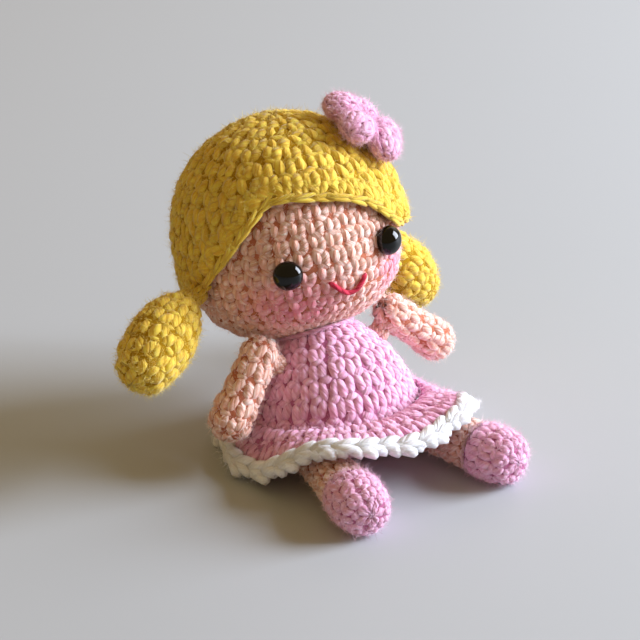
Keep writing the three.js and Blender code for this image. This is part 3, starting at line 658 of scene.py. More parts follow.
def strand(name, path, radius, material, normals=None, closed=True):
    """A plied yarn along a path, with UVs that run round it and along it."""
    path = np.asarray(path, float)
    ahead = np.roll(path, -1, axis=0) - np.roll(path, 1, axis=0)
    if not closed:
        ahead[0], ahead[-1] = path[1] - path[0], path[-1] - path[-2]
    ahead = unit(ahead)
    up = unit(normals - ahead * (normals * ahead).sum(axis=1, keepdims=True))
    side = np.cross(ahead, up)
    sides = 10
    angles = np.arange(sides) * 2 * math.pi / sides
    widths = np.full(len(path), radius)
    if not closed:
        ends = np.minimum(np.arange(len(path)), np.arange(len(path))[::-1])
        widths = radius * np.sqrt(np.clip((ends + 0.15) / 2.0, 0.02, 1))
    ring = np.cos(angles)[None, :, None] * side[:, None, :] + np.sin(angles)[None, :, None] * up[:, None, :]
    points = path[:, None, :] + ring * widths[:, None, None]
    run = np.concatenate([[0], np.cumsum(np.linalg.norm(np.diff(path, axis=0), axis=1))])
    steps = len(path) if closed else len(path) - 1
    faces = (np.array(tube_faces(steps + 1, sides)) % (len(path) * sides)).tolist()
    far = run[:steps] + np.linalg.norm(np.roll(path, -1, axis=0) - path, axis=1)[:steps]
    pace = 0.45 / (2 * radius)
    uvs = np.zeros((steps, sides, 4, 2))
    uvs[..., :2, 1], uvs[..., 2:, 1] = run[:steps, None, None] * pace, far[:, None, None] * pace
    uvs[..., (0, 3), 0] = np.arange(sides)[:, None] / sides
    uvs[..., (1, 2), 0] = np.arange(1, sides + 1)[:, None] / sides
    uvs = uvs.ravel()
    if not closed:
        last = (len(path) - 1) * sides
        faces += [list(range(sides))[::-1], list(range(last, last + sides))]
        uvs = np.concatenate([uvs, np.full(4 * sides, 0.1)])
    made = form(name, points, faces, material)
    made.data.uv_layers.new(name="UVMap").data.foreach_set("uv", uvs.astype(np.float32))
    count = len(path) * sides
    # a high lift everywhere, so the thread takes little painted shade
    set_values(made.data, tint=np.full(count, 0.5), lift=np.full(count, 0.85))
    return clean(made)


def backing(node, depth, material):
    """The fabric behind a piece's stitches: the node's own skin, drawn in from both faces. Its callers give it the
    yarn's painted shade.
    """
    return clean(new_object(f"{node}_backing", frame["nodes"][node].data.copy(), material), weld=True, shrink=depth)


def lining(name, surface, depth, material):
    """A closed skin just under a surface, so that nothing shows through between the stitches. Its callers give it the
    yarn's painted shade.
    """
    step = max(1, len(surface.points) // 12)
    grid = (surface.points - surface.normals * depth)[::step, ::6]
    rows, columns = grid.shape[:2]
    ends = [tuple(range(columns))[::-1], tuple(range((rows - 1) * columns, rows * columns))]
    return clean(form(name, grid, tube_faces(rows, columns) + ends, material))


FIBRE_STAND = 0.5  # at most, how far a fibre's direction turns towards the surface's own
FIBRE_CLEAR = 0.1  # at least, how much it points away from the surface
FIBRE_CURLS = (0.1, 0.7)  # of its length, sideways at its tip
FIBRE_LENGTHS = (0.35, 1.25)  # of the length in the settings
FIBRE_TAPER = 0.7  # of its width, gone at its tip


def stray_fibres(kit, name, surface, colour, count, seed, keep=None):
    """Fine fibres that stand off the yarn, each a narrow curved ribbon."""
    random = np.random.default_rng(seed)
    weight = np.cumsum(surface.girth)
    reach = np.interp(random.random(count) * weight[-1], weight, surface.reach)
    start, normal = surface.at(random.random(count), reach)
    if keep is not None:
        kept = keep(start)
        start, normal = start[kept], normal[kept]
    count = len(start)
    loose = unit(random.normal(0, 1, (count, 3)))
    way = unit(normal * random.uniform(0.0, FIBRE_STAND, (count, 1)) + loose)
    way += normal * np.maximum(0, FIBRE_CLEAR - (way * normal).sum(axis=1, keepdims=True))
    curl = unit(random.normal(0, 1, (count, 3))) * random.uniform(*FIBRE_CURLS, (count, 1))
    reach_out = kit.yarn.fibre_length * random.uniform(*FIBRE_LENGTHS, (count, 1))
    across = unit(np.cross(way, random.normal(0, 1, (count, 3)))) * kit.yarn.fibre_width
    steps = np.linspace(0, 1, 4)
    rows = []
    for t in steps:
        middle = start + (way * t + curl * t * t) * reach_out
        slim = across * (1 - FIBRE_TAPER * t)
        rows.append(np.stack([middle - slim / 2, middle + slim / 2], axis=1))
    points = np.stack(rows, axis=1).reshape(count, -1, 3)
    quads = np.array([[2 * i, 2 * i + 1, 2 * i + 3, 2 * i + 2] for i in range(len(steps) - 1)])
    faces = (quads[None] + (np.arange(count) * points.shape[1])[:, None, None]).reshape(-1, 4)
    return smooth(form(name, points, faces.tolist(), kit.materials[f"{colour}_fibres"]))


# Materials


def maths(tree, operation, *values):
    return add(tree, "ShaderNodeMath", dict(enumerate(values)), operation=operation).outputs[0]


def remap(tree, value, to_low, to_high, low=0.0, high=1.0):
    inputs = {"Value": value, "From Min": low, "From Max": high, "To Min": to_low, "To Max": to_high}
    return add(tree, "ShaderNodeMapRange", inputs).outputs[0]


def mix(tree, share, first, second):
    return add(tree, "ShaderNodeMix", {0: share, 6: first, 7: second}, data_type="RGBA").outputs[2]


def cloud(tree, scale, detail=2.0):
    """Noise in the piece's own coordinates."""
    place = add(tree, "ShaderNodeTexCoord").outputs["Object"]
    return add(tree, "ShaderNodeTexNoise", {"Vector": place, "Scale": scale, "Detail": detail}).outputs["Fac"]


def bumps(tree, height, strength, distance):
    inputs = {"Height": height, "Strength": strength, "Distance": distance}
    return add(tree, "ShaderNodeBump", inputs).outputs[0]


def attribute(tree, name):
    return add(tree, "ShaderNodeAttribute", attribute_name=name).outputs["Fac"]


def empty_tree(owner):
    owner.use_nodes = True
    owner.node_tree.nodes.clear()
    return owner.node_tree


def shaded(material, **inputs):
    """Ends a material in one shader. Underscores in the names of its inputs stand for spaces."""
    tree = material.node_tree
    named = {name.replace("_", " "): value for name, value in inputs.items()}
    shader = add(tree, "ShaderNodeBsdfPrincipled", named)
    add(tree, "ShaderNodeOutputMaterial", {"Surface": shader.outputs[0]})
    return material


def yarn_material(name, ridge, groove, gap, blush=None, sheen=0.3):
    """Soft acrylic yarn, spun from plies: rounded plies with fine fibres along them, and painted shade, dark where
    stitches meet and in the grooves between plies.
    """
    material = bpy.data.materials.new(name)
    tree = empty_tree(material)
    plies = 2.0
    uv = add(tree, "ShaderNodeUVMap", uv_map="UVMap")
    parts = add(tree, "ShaderNodeSeparateXYZ", {"Vector": uv.outputs["UV"]}).outputs
    tint = attribute(tree, "tint")
    turn = maths(tree, "MULTIPLY_ADD", parts["X"], plies, parts["Y"])
    wave = maths(tree, "SINE", maths(tree, "MULTIPLY", turn, math.pi))
    ply = maths(tree, "POWER", maths(tree, "ABSOLUTE", wave), 0.6)
    spread = maths(tree, "MULTIPLY", tint, 40.0)
    lie = add(tree, "ShaderNodeCombineXYZ", {"X": turn, "Y": parts["Y"], "Z": spread}).outputs[0]
    drawn = add(tree, "ShaderNodeVectorMath", {0: lie, 1: (5.2, 0.9, 1.0)}, operation="MULTIPLY").outputs[0]
    grain = {"Vector": drawn, "Scale": 1.3, "Detail": 3.0, "Roughness": 0.6}
    fibres = add(tree, "ShaderNodeTexNoise", grain).outputs["Fac"]
    # Painted shade: points deep between the stitches take the gaps' colour and the grooves between plies take the
    # grooves' colour; only the crowns of the plies show the lit colour, more where the fibre streaks are bright
    out = remap(tree, attribute(tree, "lift"), 0.0, 1.0, 0.12, 0.72)
    streak = remap(tree, fibres, 0.05, 1.0, 0.38, 0.62)
    lit_share = maths(tree, "MULTIPLY", maths(tree, "MULTIPLY", ply, out), streak)
    shade = mix(tree, lit_share, mix(tree, out, gap, groove), ridge)
    if blush is not None:
        patch = remap(tree, cloud(tree, 420.0), 0.6, 1.0, 0.3, 0.7)
        shade = mix(tree, maths(tree, "MULTIPLY", attribute(tree, "blush"), patch), shade, blush)
    varied = add(tree, "ShaderNodeHueSaturation", {"Color": shade, "Value": remap(tree, tint, 0.92, 1.06)})
    return shaded(
        material,
        Base_Color=varied.outputs[0],
        Roughness=0.78,
        IOR=1.5,
        Specular_IOR_Level=0.25,
        Sheen_Weight=sheen,
        Sheen_Roughness=0.45,
        Subsurface_Weight=0.12,
        Subsurface_Radius=(1.0, 0.55, 0.4),
        Subsurface_Scale=0.9 * MM,
        Normal=bumps(tree, maths(tree, "MULTIPLY_ADD", fibres, 1.0, ply), 1.0, 0.28 * MM),
    )


def backing_material(name, shade):
    """The same yarn deep between the stitches, in painted shade: the gaps' colour and a darker copy of it, warm as
    light that has bounced off its own colour.
    """
    material = bpy.data.materials.new(name)
    tree = empty_tree(material)
    knots = cloud(tree, 900.0, 3.0)
    deeper_shade = [c * 0.55 for c in shade[:3]] + [1.0]
    bump = bumps(tree, knots, 0.7, 0.2 * MM)
    return shaded(
        material, Base_Color=mix(tree, knots, deeper_shade, shade), Roughness=0.95, Specular_IOR_Level=0.1, Normal=bump
    )


def fibre_material(name, shade):
    """Single stray fibres, paler than the yarn because light goes through them."""
    material = bpy.data.materials.new(name)
    tree = empty_tree(material)
    pale = [c + (1 - c) * 0.25 for c in shade[:3]] + [1.0]
    mixed = mix(tree, cloud(tree, 700.0), shade, pale)
    return shaded(material, Base_Color=mixed, Roughness=0.7, Sheen_Weight=0.4, Specular_IOR_Level=0.2)


def plastic_material(name, shade, roughness, grain):
    """Moulded plastic: a smooth skin with a very slight unevenness from the mould."""
    material = bpy.data.materials.new(name)
    tree = empty_tree(material)
    skin = cloud(tree, grain, 1.0)
    rough = remap(tree, skin, roughness * 0.8, roughness * 1.2)
    bump = bumps(tree, skin, 0.08, 0.05 * MM)
    return shaded(material, Base_Color=shade, Roughness=rough, IOR=1.46, Specular_IOR_Level=0.4, Normal=bump)


def plain_material(name, shade, darker, scale, roughness):
    """A painted surface or loose fibre with faint cloudiness."""
    material = bpy.data.materials.new(name)
    tree = empty_tree(material)
    return shaded(material, Base_Color=mix(tree, cloud(tree, scale, 3.0), darker, shade), Roughness=roughness)


class Kit:
    """What the operators share: the settings, the leg of a stitch and the materials."""

    made = None

    def __init__(self, scene):
        self.yarn = scene.doll_yarn
        self.leg = model_leg()
        self.materials = {}
        tones = {name: list(getattr(scene.doll_colours, name)) for name in ColourSettings.__annotations__}
        for key in ("skin", "hair", "pink", "white"):
            # the lit colour and the two colours of painted shade; the backing takes the gaps' painted shade and the
            # stray fibres take the lit colour
            ridge, groove, gap = (tones[f"{key}_{part}"] for part in ("ridge", "groove", "gap"))
            blush = tones["blush"] if key == "skin" else None
            self.materials[key] = yarn_material(f"{key} acrylic yarn", ridge, groove, gap, blush)
            self.materials[f"{key}_backing"] = backing_material(f"{key} painted shade behind the stitches", gap)
            self.materials[f"{key}_fibres"] = fibre_material(f"{key} stray fibres", ridge)
        # the red thread's grooves' painted shade also stands for its gaps
        groove = tones["red_groove"]
        self.materials["red"] = yarn_material("red cotton thread", tones["red_ridge"], groove, groove, sheen=0.1)

    @classmethod
    def of(cls, scene):
        if cls.made is None:
            cls.made = cls(scene)
        return cls.made

    def work(
        self, name, surface, colour, seed, node=None, keep=None, opening=1, fibres=500, extra=None, shape=None, **rounds
    ):
        """A crocheted form: stitches, the backing behind them and stray fibres, joined."""
        stitches = Rounds(surface, self.yarn, keep=keep, seed=seed, **rounds)
        layers = [
            crochet(self, name, surface, stitches, colour, opening, extra, **(shape or {})),
            stray_fibres(self, f"{name}_fibres", surface, colour, fibres, seed, keep),
        ]
        if node:
            layers.append(backing(node, self.yarn.backing_depth, self.materials[f"{colour}_backing"]))
        return join(name, *layers)


def circle(first, second, angles=TURNS):
    return np.cos(angles)[:, None] * first + np.sin(angles)[:, None] * second


def stub(kit, name, start, end, radius, colour, seed):
    """A short tube of stitches that joins one piece to another where they are sewn together."""
    ahead = unit(end - start)
    first = unit(np.cross(ahead, HEAD_BACK))
    second = np.cross(ahead, first)
    share = np.linspace(0, 1, 9)[:, None, None]
    ring = circle(first, second)
    surface = Surface(start + share * (end - start) + ring * radius, outward=ring)
    rounds = Rounds(surface, kit.yarn, seed=seed, height=2.2 * MM, width=2.6 * MM)
    stitches = crochet(kit, name, surface, rounds, colour, relief=0.7)
    return join(name, stitches, lining(f"{name}_lining", surface, 0.4 * MM, kit.materials[f"{colour}_backing"]))


# Hairline, read from the frame


def hairline(azimuths):
    """Latitude of the hair's edge at each azimuth."""
    tree = node_tree("hair_cap")
    found = []
    for azimuth in azimuths:
        low, high = -60.0, 80.0
        while high - low > 0.2:
            middle = (low + high) / 2
            if met(tree, HEAD, head_way(azimuth, middle), AWAY - INSIDE):
                high = middle
            else:
                low = middle
        found.append(high)
    return np.array(found)


LINE_AZIMUTHS = np.linspace(-180, 180, 289)
LINE_LATITUDES = hairline(LINE_AZIMUTHS)
HEAD_SHELL = Shell("head_cover")
HAIR_SHELL = Shell("hair_cap", HEAD_SHELL)


def above_hairline(points):
    """Degrees by which points are above the hair's edge."""
    azimuth, latitude = head_angles(points)
    return latitude - np.interp(azimuth, LINE_AZIMUTHS, LINE_LATITUDES)


CHEEKS = ((-31, -28, 27, 17), (33, -20, 16, 14))  # azimuth, latitude and reach each way, in degrees


def blush_at(points):
    """Chalk on both cheeks, from 0 to 1."""
    azimuth, latitude = head_angles(points)
    amount = np.zeros(len(points))
    for centre, height, wide, tall in CHEEKS:
        off = ((azimuth - centre) / wide) ** 2 + ((latitude - height) / tall) ** 2
        amount = np.maximum(amount, 0.8 * np.exp(-(off**1.5)))
    return amount


class DOLL_OT_head(bpy.types.Operator):
    """Crochet the head in rounds of skin-coloured yarn"""

    bl_idname = "doll.head"
    bl_label = "Head"

    def execute(self, context):
        kit = Kit.of(context.scene)
        surface = HEAD_SHELL.surface().lumpy(kit.yarn.lumps, 3)

        def keep(points):
            under_neck = unit(points - HEAD) @ -NECK_WAY > math.cos(math.radians(17))
            return (above_hairline(points) < 7) & ~under_neck

        made = kit.work(
            "head", surface, "skin", 21, "head_cover", keep, -1, 9000, {"blush": blush_at}, drift=0.12
        )
        finish_piece(made, "head", ["head_cover"])
        return {"FINISHED"}


class DOLL_OT_hair(bpy.types.Operator):
    """Crochet the hair cap, its long stitches round the face and the chain along its edge"""

    bl_idname = "doll.hair"
    bl_label = "Hair cap"

    def execute(self, context):
        kit = Kit.of(context.scene)
        yarn = kit.yarn
        edge_height = 4.4 * MM
        edge_angle = math.degrees(edge_height / HEAD_RADIUS)
        surface = HAIR_SHELL.surface(lowest=-62).lumpy(yarn.lumps, 9)
        cap = kit.work(
            "hair", surface, "hair", 5, "hair_cap", lambda p: above_hairline(p) > edge_angle - 2, -1, 18000,
            shape={"wild": 1.9, "long": 1.2}, height=3.5 * MM, width=4.2 * MM,
        )
        azimuths = np.linspace(-180, 180, 2 * COLUMNS, endpoint=False)
        latitudes = np.interp(azimuths, LINE_AZIMUTHS, LINE_LATITUDES)
        edge = HAIR_SHELL.points(azimuths, latitudes)
        out = unit(edge - HEAD)
        up = rise_of(out, ahead_of(edge, 2), HEAD_UP)
        rises = np.linspace(0.8 * MM, edge_height + 0.8 * MM, 8)
        band = Surface(np.stack([HAIR_SHELL.under(edge + up * rise) for rise in rises]), outward=out[None])
        rows = Rounds(band, yarn, seed=8, height=edge_height, width=4.2 * MM)
        edging = crochet(kit, "hair_edging", band, rows, "hair", 1.5)
        rim = chain(
            kit, "hair_rim", HAIR_SHELL.under(edge + up * 0.6 * MM, -0.5 * MM), unit(out - up * 0.35), "hair",
            4.0 * MM, width=0.72, lean=0.1, stretch=1.7,
        )
        fuzz = stray_fibres(kit, "hair_edge_fibres", band, "hair", 2500, 15)
        made = join("hair", cap, edging, rim, fuzz)
        finish_piece(made, "head", ["hair_cap"])
        return {"FINISHED"}


class DOLL_OT_pigtails(bpy.types.Operator):
    """Crochet the two pigtails"""

    bl_idname = "doll.pigtails"
    bl_label = "Pigtails"

    def execute(self, context):
        kit = Kit.of(context.scene)
        for seed, side in enumerate(SIDES):
            name = f"pigtail_{side}"
            root = joint_point(f"{side}_pigtail_root")
            tip = farthest(name, root)
            way = unit(tip - root)
            foot = HAIR_SHELL.under(root[None], -0.8 * MM)[0]  # where it is sewn into the hair
            surface = form_surface(name, straight_path(root - way * 2.4 * MM, tip), HEAD_BACK)
            made = kit.work(
                f"{name}_yarn", surface.lumpy(kit.yarn.lumps * 1.5, seed), "hair", 31 + seed, name, fibres=5000,
                shape={"wild": 1.5, "long": 1.1, "relief": 1.2}, height=3.9 * MM, width=4.4 * MM,
            )
            neck = stub(kit, f"{name}_neck", foot, root + way * 1.5 * MM, 2.2 * MM, "hair", 37 + seed)
            made = join(f"{name}_yarn", made, neck)
            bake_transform(made)
            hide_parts(name)
        return {"FINISHED"}


class DOLL_OT_flower(bpy.types.Operator):
    """Crochet the five petals and the middle of the flower"""

    bl_idname = "doll.flower"
    bl_label = "Flower"

    def execute(self, context):
        kit = Kit.of(context.scene)
        points = node_points("flower")
        facing = unit(points.mean(axis=0) - HEAD)
        foot = HAIR_SHELL.under(points.mean(axis=0)[None])[0]
        spokes = points - foot
        tilt = unit(facing + 0.001 * NECK_WAY)
        for _ in range(8):
            spread = np.linalg.norm(spokes - (spokes @ tilt)[:, None] * tilt, axis=1)
            rim = points[spread > spread.max() * 0.8]
            normal = np.linalg.svd(rim - rim.mean(axis=0), full_matrices=False)[2][2]
            tilt = unit(normal * np.sign(normal @ facing))
        flat = spokes - (spokes @ tilt)[:, None] * tilt
        spread = np.linalg.norm(flat, axis=1)
        first = unit(flat[np.argmax(spread)])
        second = np.cross(tilt, first)
        petal_radius, middle_radius = 3.9 * MM, 2.3 * MM
        circle = spread.max() - petal_radius * 0.97
        thickness = (spokes @ tilt).max()
        cup = math.radians(20)
        latitude = np.radians(np.linspace(-89, 89, ROWS))[:, None, None]
        turn = TURNS[None, :, None]
        lobes = []
        for i in range(6):
            turned = 2 * math.pi * i / 5
            out = first * math.cos(turned) + second * math.sin(turned)
            side = np.cross(tilt, out)
            if i == 5:  # the middle of the flower
                centre = foot + tilt * thickness * 0.42
                radius = plump = middle_radius
                axis, deep = tilt, np.cross(tilt, side)
            else:
                centre = foot + tilt * thickness * 0.5 + out * circle
                radius, plump = petal_radius, thickness * 0.53
                axis = out * math.cos(cup) - tilt * math.sin(cup)
                deep = np.cross(axis, side)
            ring = np.cos(turn) * side * radius + np.sin(turn) * deep * plump
            grid = centre + np.sin(latitude) * axis * radius + np.cos(latitude) * ring
            surface = Surface(grid).lumpy(kit.yarn.lumps, 40 + i)
            lobes.append(kit.work(
                f"petal_{i}", surface, "pink", 60 + i, fibres=1500, opening=-1,
                height=2.6 * MM, width=3.2 * MM, shape={"relief": 0.5, "wild": 1.6, "long": 1.3},
            ))
            lobes.append(lining(f"petal_{i}_lining", surface, 0.45 * MM, kit.materials["pink_backing"]))
        lobes.append(backing("flower", kit.yarn.backing_depth, kit.materials["pink_backing"]))
        made = join("flower_yarn", *lobes)
        finish_piece(made, "head", ["flower"])
        return {"FINISHED"}


class DOLL_OT_eyes(bpy.types.Operator):
    """Model the two bead eyes with their posts"""

    bl_idname = "doll.eyes"
    bl_label = "Eyes"

    def execute(self, context):
        gloss = plastic_material("polished black plastic", linear("#030303"), 0.05, 60.0)
        for side in SIDES:
            top = farthest(f"eye_{side}", HEAD)
            way = Vector(unit(top - HEAD))
            radius = 2.98 * MM
            bpy.ops.object.select_all(action="DESELECT")
            bpy.ops.mesh.primitive_uv_sphere_add(segments=48, ring_count=24, radius=radius)
            eye = bpy.context.object
            edit_all()
            bpy.ops.transform.resize(value=(1.0, 1.0, 0.8), center_override=(0, 0, 0))
            bpy.ops.mesh.bisect(plane_co=(0, 0, -1.3 * MM), plane_no=(0, 0, 1), clear_inner=True, use_fill=True)
            bpy.ops.mesh.inset(thickness=1.6 * MM)
            bpy.ops.mesh.extrude_region_move(TRANSFORM_OT_translate={"value": (0, 0, -4.5 * MM)})
            bpy.ops.object.mode_set(mode="OBJECT")
            turn = Vector((0, 0, 1)).rotation_difference(way).to_matrix().to_4x4()
            centre = Vector(top) - way * radius * 0.8
            eye.data.transform(Matrix.Translation(centre) @ turn)
            eye.name = f"bead_eye_{side}"
            eye.data.materials.append(gloss)
            select_only(eye)
            bpy.ops.object.shade_smooth_by_angle(angle=math.radians(40))
            finish_piece(eye, "head", [f"eye_{side}"])
        return {"FINISHED"}


class DOLL_OT_smile(bpy.types.Operator):
    """Sew the smile in red thread"""

    bl_idname = "doll.smile"
    bl_label = "Smile"

    def execute(self, context):
        kit = Kit.of(context.scene)
        azimuth, latitude = head_angles(node_points("mouth_thread"))
        thread = math.degrees(kit.yarn.smile_radius / HEAD_RADIUS)
        along = np.linspace(azimuth.min() + thread, azimuth.max() - thread, 29)
        line = np.array([latitude[np.abs(azimuth - a) < 1.4 * thread].mean() for a in along])
        line = np.convolve(np.pad(line, 2, mode="edge"), np.ones(5) / 5, mode="valid")
        share = np.linspace(-1, 1, len(along))
        path = HEAD_SHELL.points(along, line, (0.1 + 0.45 * (1 - np.abs(share) ** 8)) * MM)
        ways = unit(path - HEAD)
        made = strand("smile", path, kit.yarn.smile_radius, kit.materials["red"], ways, closed=False)
        finish_piece(made, "head", ["mouth_thread"])
        return {"FINISHED"}


class DOLL_OT_body(bpy.types.Operator):
    """Crochet the bodice and seat in rounds of pink yarn"""

    bl_idname = "doll.body"
    bl_label = "Body"

    def execute(self, context):
        kit = Kit.of(context.scene)
        top = ((node_points("body_cover") - HEAD) @ NECK_WAY).max()
        neck = HEAD + NECK_WAY * (top - 0.2 * MM)
        path = bowed_path(UP * 0.05 * MM, UP, neck, NECK_WAY)
        surface = form_surface("body_cover", path, HEAD_ACROSS)

        def keep(points):
            return (HEAD_SHELL.above(points) > 0.7 * MM) & (points[:, 2] > 0.6 * MM)

        made = kit.work("body", surface, "pink", 44, "body_cover", keep, fibres=5000, height=3.4 * MM, width=3.8 * MM)
        flatten(made)
        finish_piece(made, "torso", ["body_cover"])
        return {"FINISHED"}


def skirt_grid():
    """Points of the skirt's upper face, from the waist to the hem, all the way round."""
    tree = node_tree("skirt")
    low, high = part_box("skirt")
    centre = np.array([0, (low.y + high.y) / 2 + 1.5 * MM, 0])
    rows = 14
    inset = 0.1 * MM
    upper = np.zeros((rows, COLUMNS, 3))
    lower = np.zeros((rows, COLUMNS, 3))
    for j, turn in enumerate(TURNS):
        out = np.array([math.sin(turn), -math.cos(turn), 0])
        tries = np.arange(10 * MM, 35 * MM, 0.15 * MM)
        hits = [r for r in tries if met(tree, centre + out * r, UP, 2 * AWAY)]
        for i, r in enumerate(np.linspace(hits[0] + inset, hits[-1] - inset, rows)):
            spot = centre + out * r
            upper[i, j] = met(tree, spot, UP, 2 * AWAY) or spot
            lower[i, j] = met(tree, spot, -UP, 2 * AWAY) or spot
    return upper, lower


# Each scallop of the skirt's edge is a fan of stitches. Lengths are in mm and angles in radians.
SCALLOPS = 22
FAN = 3  # stitches to a scallop
FAN_FEET = 0.92  # of a scallop's part of the hem, taken up by the stitches' feet
FAN_LEAN = 0.95  # of the whole fan along the hem
FAN_SPREAD = 0.5  # of its stitches to either side of that
FAN_UNEVEN_LEAN = 0.1
FAN_LENGTH = 4.3  # of the middle stitch
FAN_SHORTER = 0.9  # for the outer ones
FAN_UNEVEN_LENGTH = (0.92, 1.08)
FAN_OUT = 1.2  # from the hem, in the middle
FAN_DRAWN_IN = 1.5  # at the sides
FAN_RISE = 0.1
FAN_WIDTH = 2.9  # of a stitch
FAN_UNEVEN_WIDTH = 0.15
FAN_OVERLAP = 1.2  # of a stitch's length
FAN_DEPTH = 2.6
FAN_DROOP = 0.5  # of a stitch's tip
FAN_TURNS = 1.3  # of the plies, along a stitch


class DOLL_OT_skirt(bpy.types.Operator):
    """Crochet the flared skirt and its white scalloped edge"""

    bl_idname = "doll.skirt"
    bl_label = "Skirt"

    def execute(self, context):
        kit = Kit.of(context.scene)
        upper, under = skirt_grid()
        middle = (upper + under) / 2
        raised = UP * 0.4 * MM
        top = Surface(upper + raised, outward=UP)
        bottom = Surface(under - raised, outward=-UP)
        # the fabric between the skirt's two faces of stitches, in the yarn's painted shade
        sheet = sheet_of("skirt_fabric", middle, 0.5 * MM, kit.materials["pink_backing"])
        worked = join(
            "skirt_yarn",
            crochet(kit, "skirt_yarn", top, Rounds(top, kit.yarn, seed=71), "pink", -1),
            crochet(kit, "skirt_lining", bottom, Rounds(bottom, kit.yarn, seed=72), "pink", -1),
            stray_fibres(kit, "skirt_fibres", top, "pink", 4000, 73),
        )
        edge = self.edge(kit, middle)
        for made in (worked, sheet, edge):
            flatten(made)
        finish_piece(sheet, "torso", ["skirt"])
        finish_piece(worked, "torso", [])
        finish_piece(edge, "torso", ["skirt_edge"])
        return {"FINISHED"}

    def edge(self, kit, middle):
        """Shells of white yarn that stand out from the hem, with a chain along their top."""
        hem = middle[-1]
        out = unit(middle[-1] - middle[-3])
        ahead = ahead_of(hem)
        up = rise_of(out, ahead, UP)
        columns = np.arange(COLUMNS + 1)
        random = np.random.default_rng(91)
        laid, tint, lift = [], [], []
        x, y, z = kit.leg.points.T
        for k in range(SCALLOPS):
            for f in range(FAN):
                spread = (f - (FAN - 1) / 2) / FAN
                turn = ((k + 0.5 + spread * FAN_FEET) / SCALLOPS) % 1
                place, o, a, u = (along_path(grid, columns, turn * COLUMNS) for grid in (hem, out, ahead, up))
                o, a, u = unit(o), unit(a), unit(u)
                lean = FAN_SPREAD * spread + FAN_LEAN + random.normal(0, FAN_UNEVEN_LEAN)
                way = unit(o * math.cos(lean) + a * math.sin(lean))
                cross = np.cross(way, u)
                reach = (FAN_LENGTH - FAN_SHORTER * abs(spread) * 2) * MM * random.uniform(*FAN_UNEVEN_LENGTH)
                centre = place + o * ((FAN_OUT - FAN_DRAWN_IN * abs(spread)) * MM) + u * FAN_RISE * MM
                wide = (FAN_WIDTH + random.normal(0, FAN_UNEVEN_WIDTH)) * MM
                run = y[:, None] * way * reach * FAN_OVERLAP
                droop = FAN_DROOP * MM * np.clip(y, 0, 1) ** 2 * 4
                deep = (z * FAN_DEPTH * MM - droop)[:, None] * u
                laid.append(centre + run + x[:, None] * cross * wide + deep)
                tint.append(random.random())
                # a little higher than a stitch's own lift, so the shells take less painted shade
                lift.append(np.clip(z + 0.6, 0, 1))
        shells = copies(
            "edge_shells", np.array(laid), kit.leg, kit.materials["white"], FAN_TURNS, np.array(tint), np.array(lift)
        )
        rim = chain(
            kit, "edge_chain", hem + out * 0.2 * MM + up * 0.85 * MM, unit(up + out * 0.3), "white",
            4.4 * MM, width=1.45, lean=0.24,
        )
        spread = np.linspace(-1.2 * MM, 3.2 * MM, 6)[:, None, None]
        band = Surface(hem + out * spread + up * 0.9 * MM, outward=up[None])
        fuzz = stray_fibres(kit, "edge_fibres", band, "white", 5000, 92)
        return join("skirt_edge_yarn", shells, rim, fuzz)


def sheet_of(name, grid, thickness, material):
    """A thin fabric of even thickness along a grid that is closed round."""
    made = form(name, grid, tube_faces(*grid.shape[:2]), material)
    solid = made.modifiers.new("thickness", "SOLIDIFY")
    solid.thickness = thickness
    solid.offset = 0
    return apply_modifiers(made)


class DOLL_OT_arms(bpy.types.Operator):
    """Crochet the two arms"""

    bl_idname = "doll.arms"
    bl_label = "Arms"

    def execute(self, context):
        kit = Kit.of(context.scene)
        for seed, side in enumerate(SIDES):
            name = f"arm_{side}"
            root = joint_point(f"{side}_shoulder")
            tip = farthest(name, root)
            start = root - unit(tip - root) * 3.4 * MM
            surface = form_surface(name, straight_path(start, tip), np.array([0, 1.0, 0]))
            surface = surface.lumpy(kit.yarn.lumps, 50 + seed)
            made = kit.work(
                f"{name}_yarn", surface, "skin", 12 + seed, name, fibres=1800, opening=-1,
                shape={"relief": 1.15}, height=3.8 * MM, width=4.0 * MM,
            )
            finish_piece(made, f"{side}_arm", [name])
        return {"FINISHED"}


class DOLL_OT_legs(bpy.types.Operator):
    """Crochet the legs and the pink shoes"""

    bl_idname = "doll.legs"
    bl_label = "Legs and shoes"

    def execute(self, context):
        kit = Kit.of(context.scene)
        for seed, side in enumerate(SIDES):
            hip = joint_point(f"{side}_hip")
            low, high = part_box(f"shoe_{side}")
            way = unit((np.array(low) + np.array(high)) / 2 - hip)
            for part, colour, first_seed, fibres, end in (
                ("leg", "skin", 81, 1500, 0.1 * MM), ("shoe", "pink", 85, 3000, 0.02 * MM)
            ):
                name = f"{part}_{side}"
                reach = (node_points(name) - hip) @ way
                path = straight_path(hip + way * (reach.min() + 0.1 * MM), hip + way * (reach.max() - end))
                surface = form_surface(name, path, UP)
                made = kit.work(f"{name}_yarn", surface, colour, first_seed + seed, name, fibres=fibres)
                flatten(made)
                finish_piece(made, f"{side}_leg", [name])
        return {"FINISHED"}


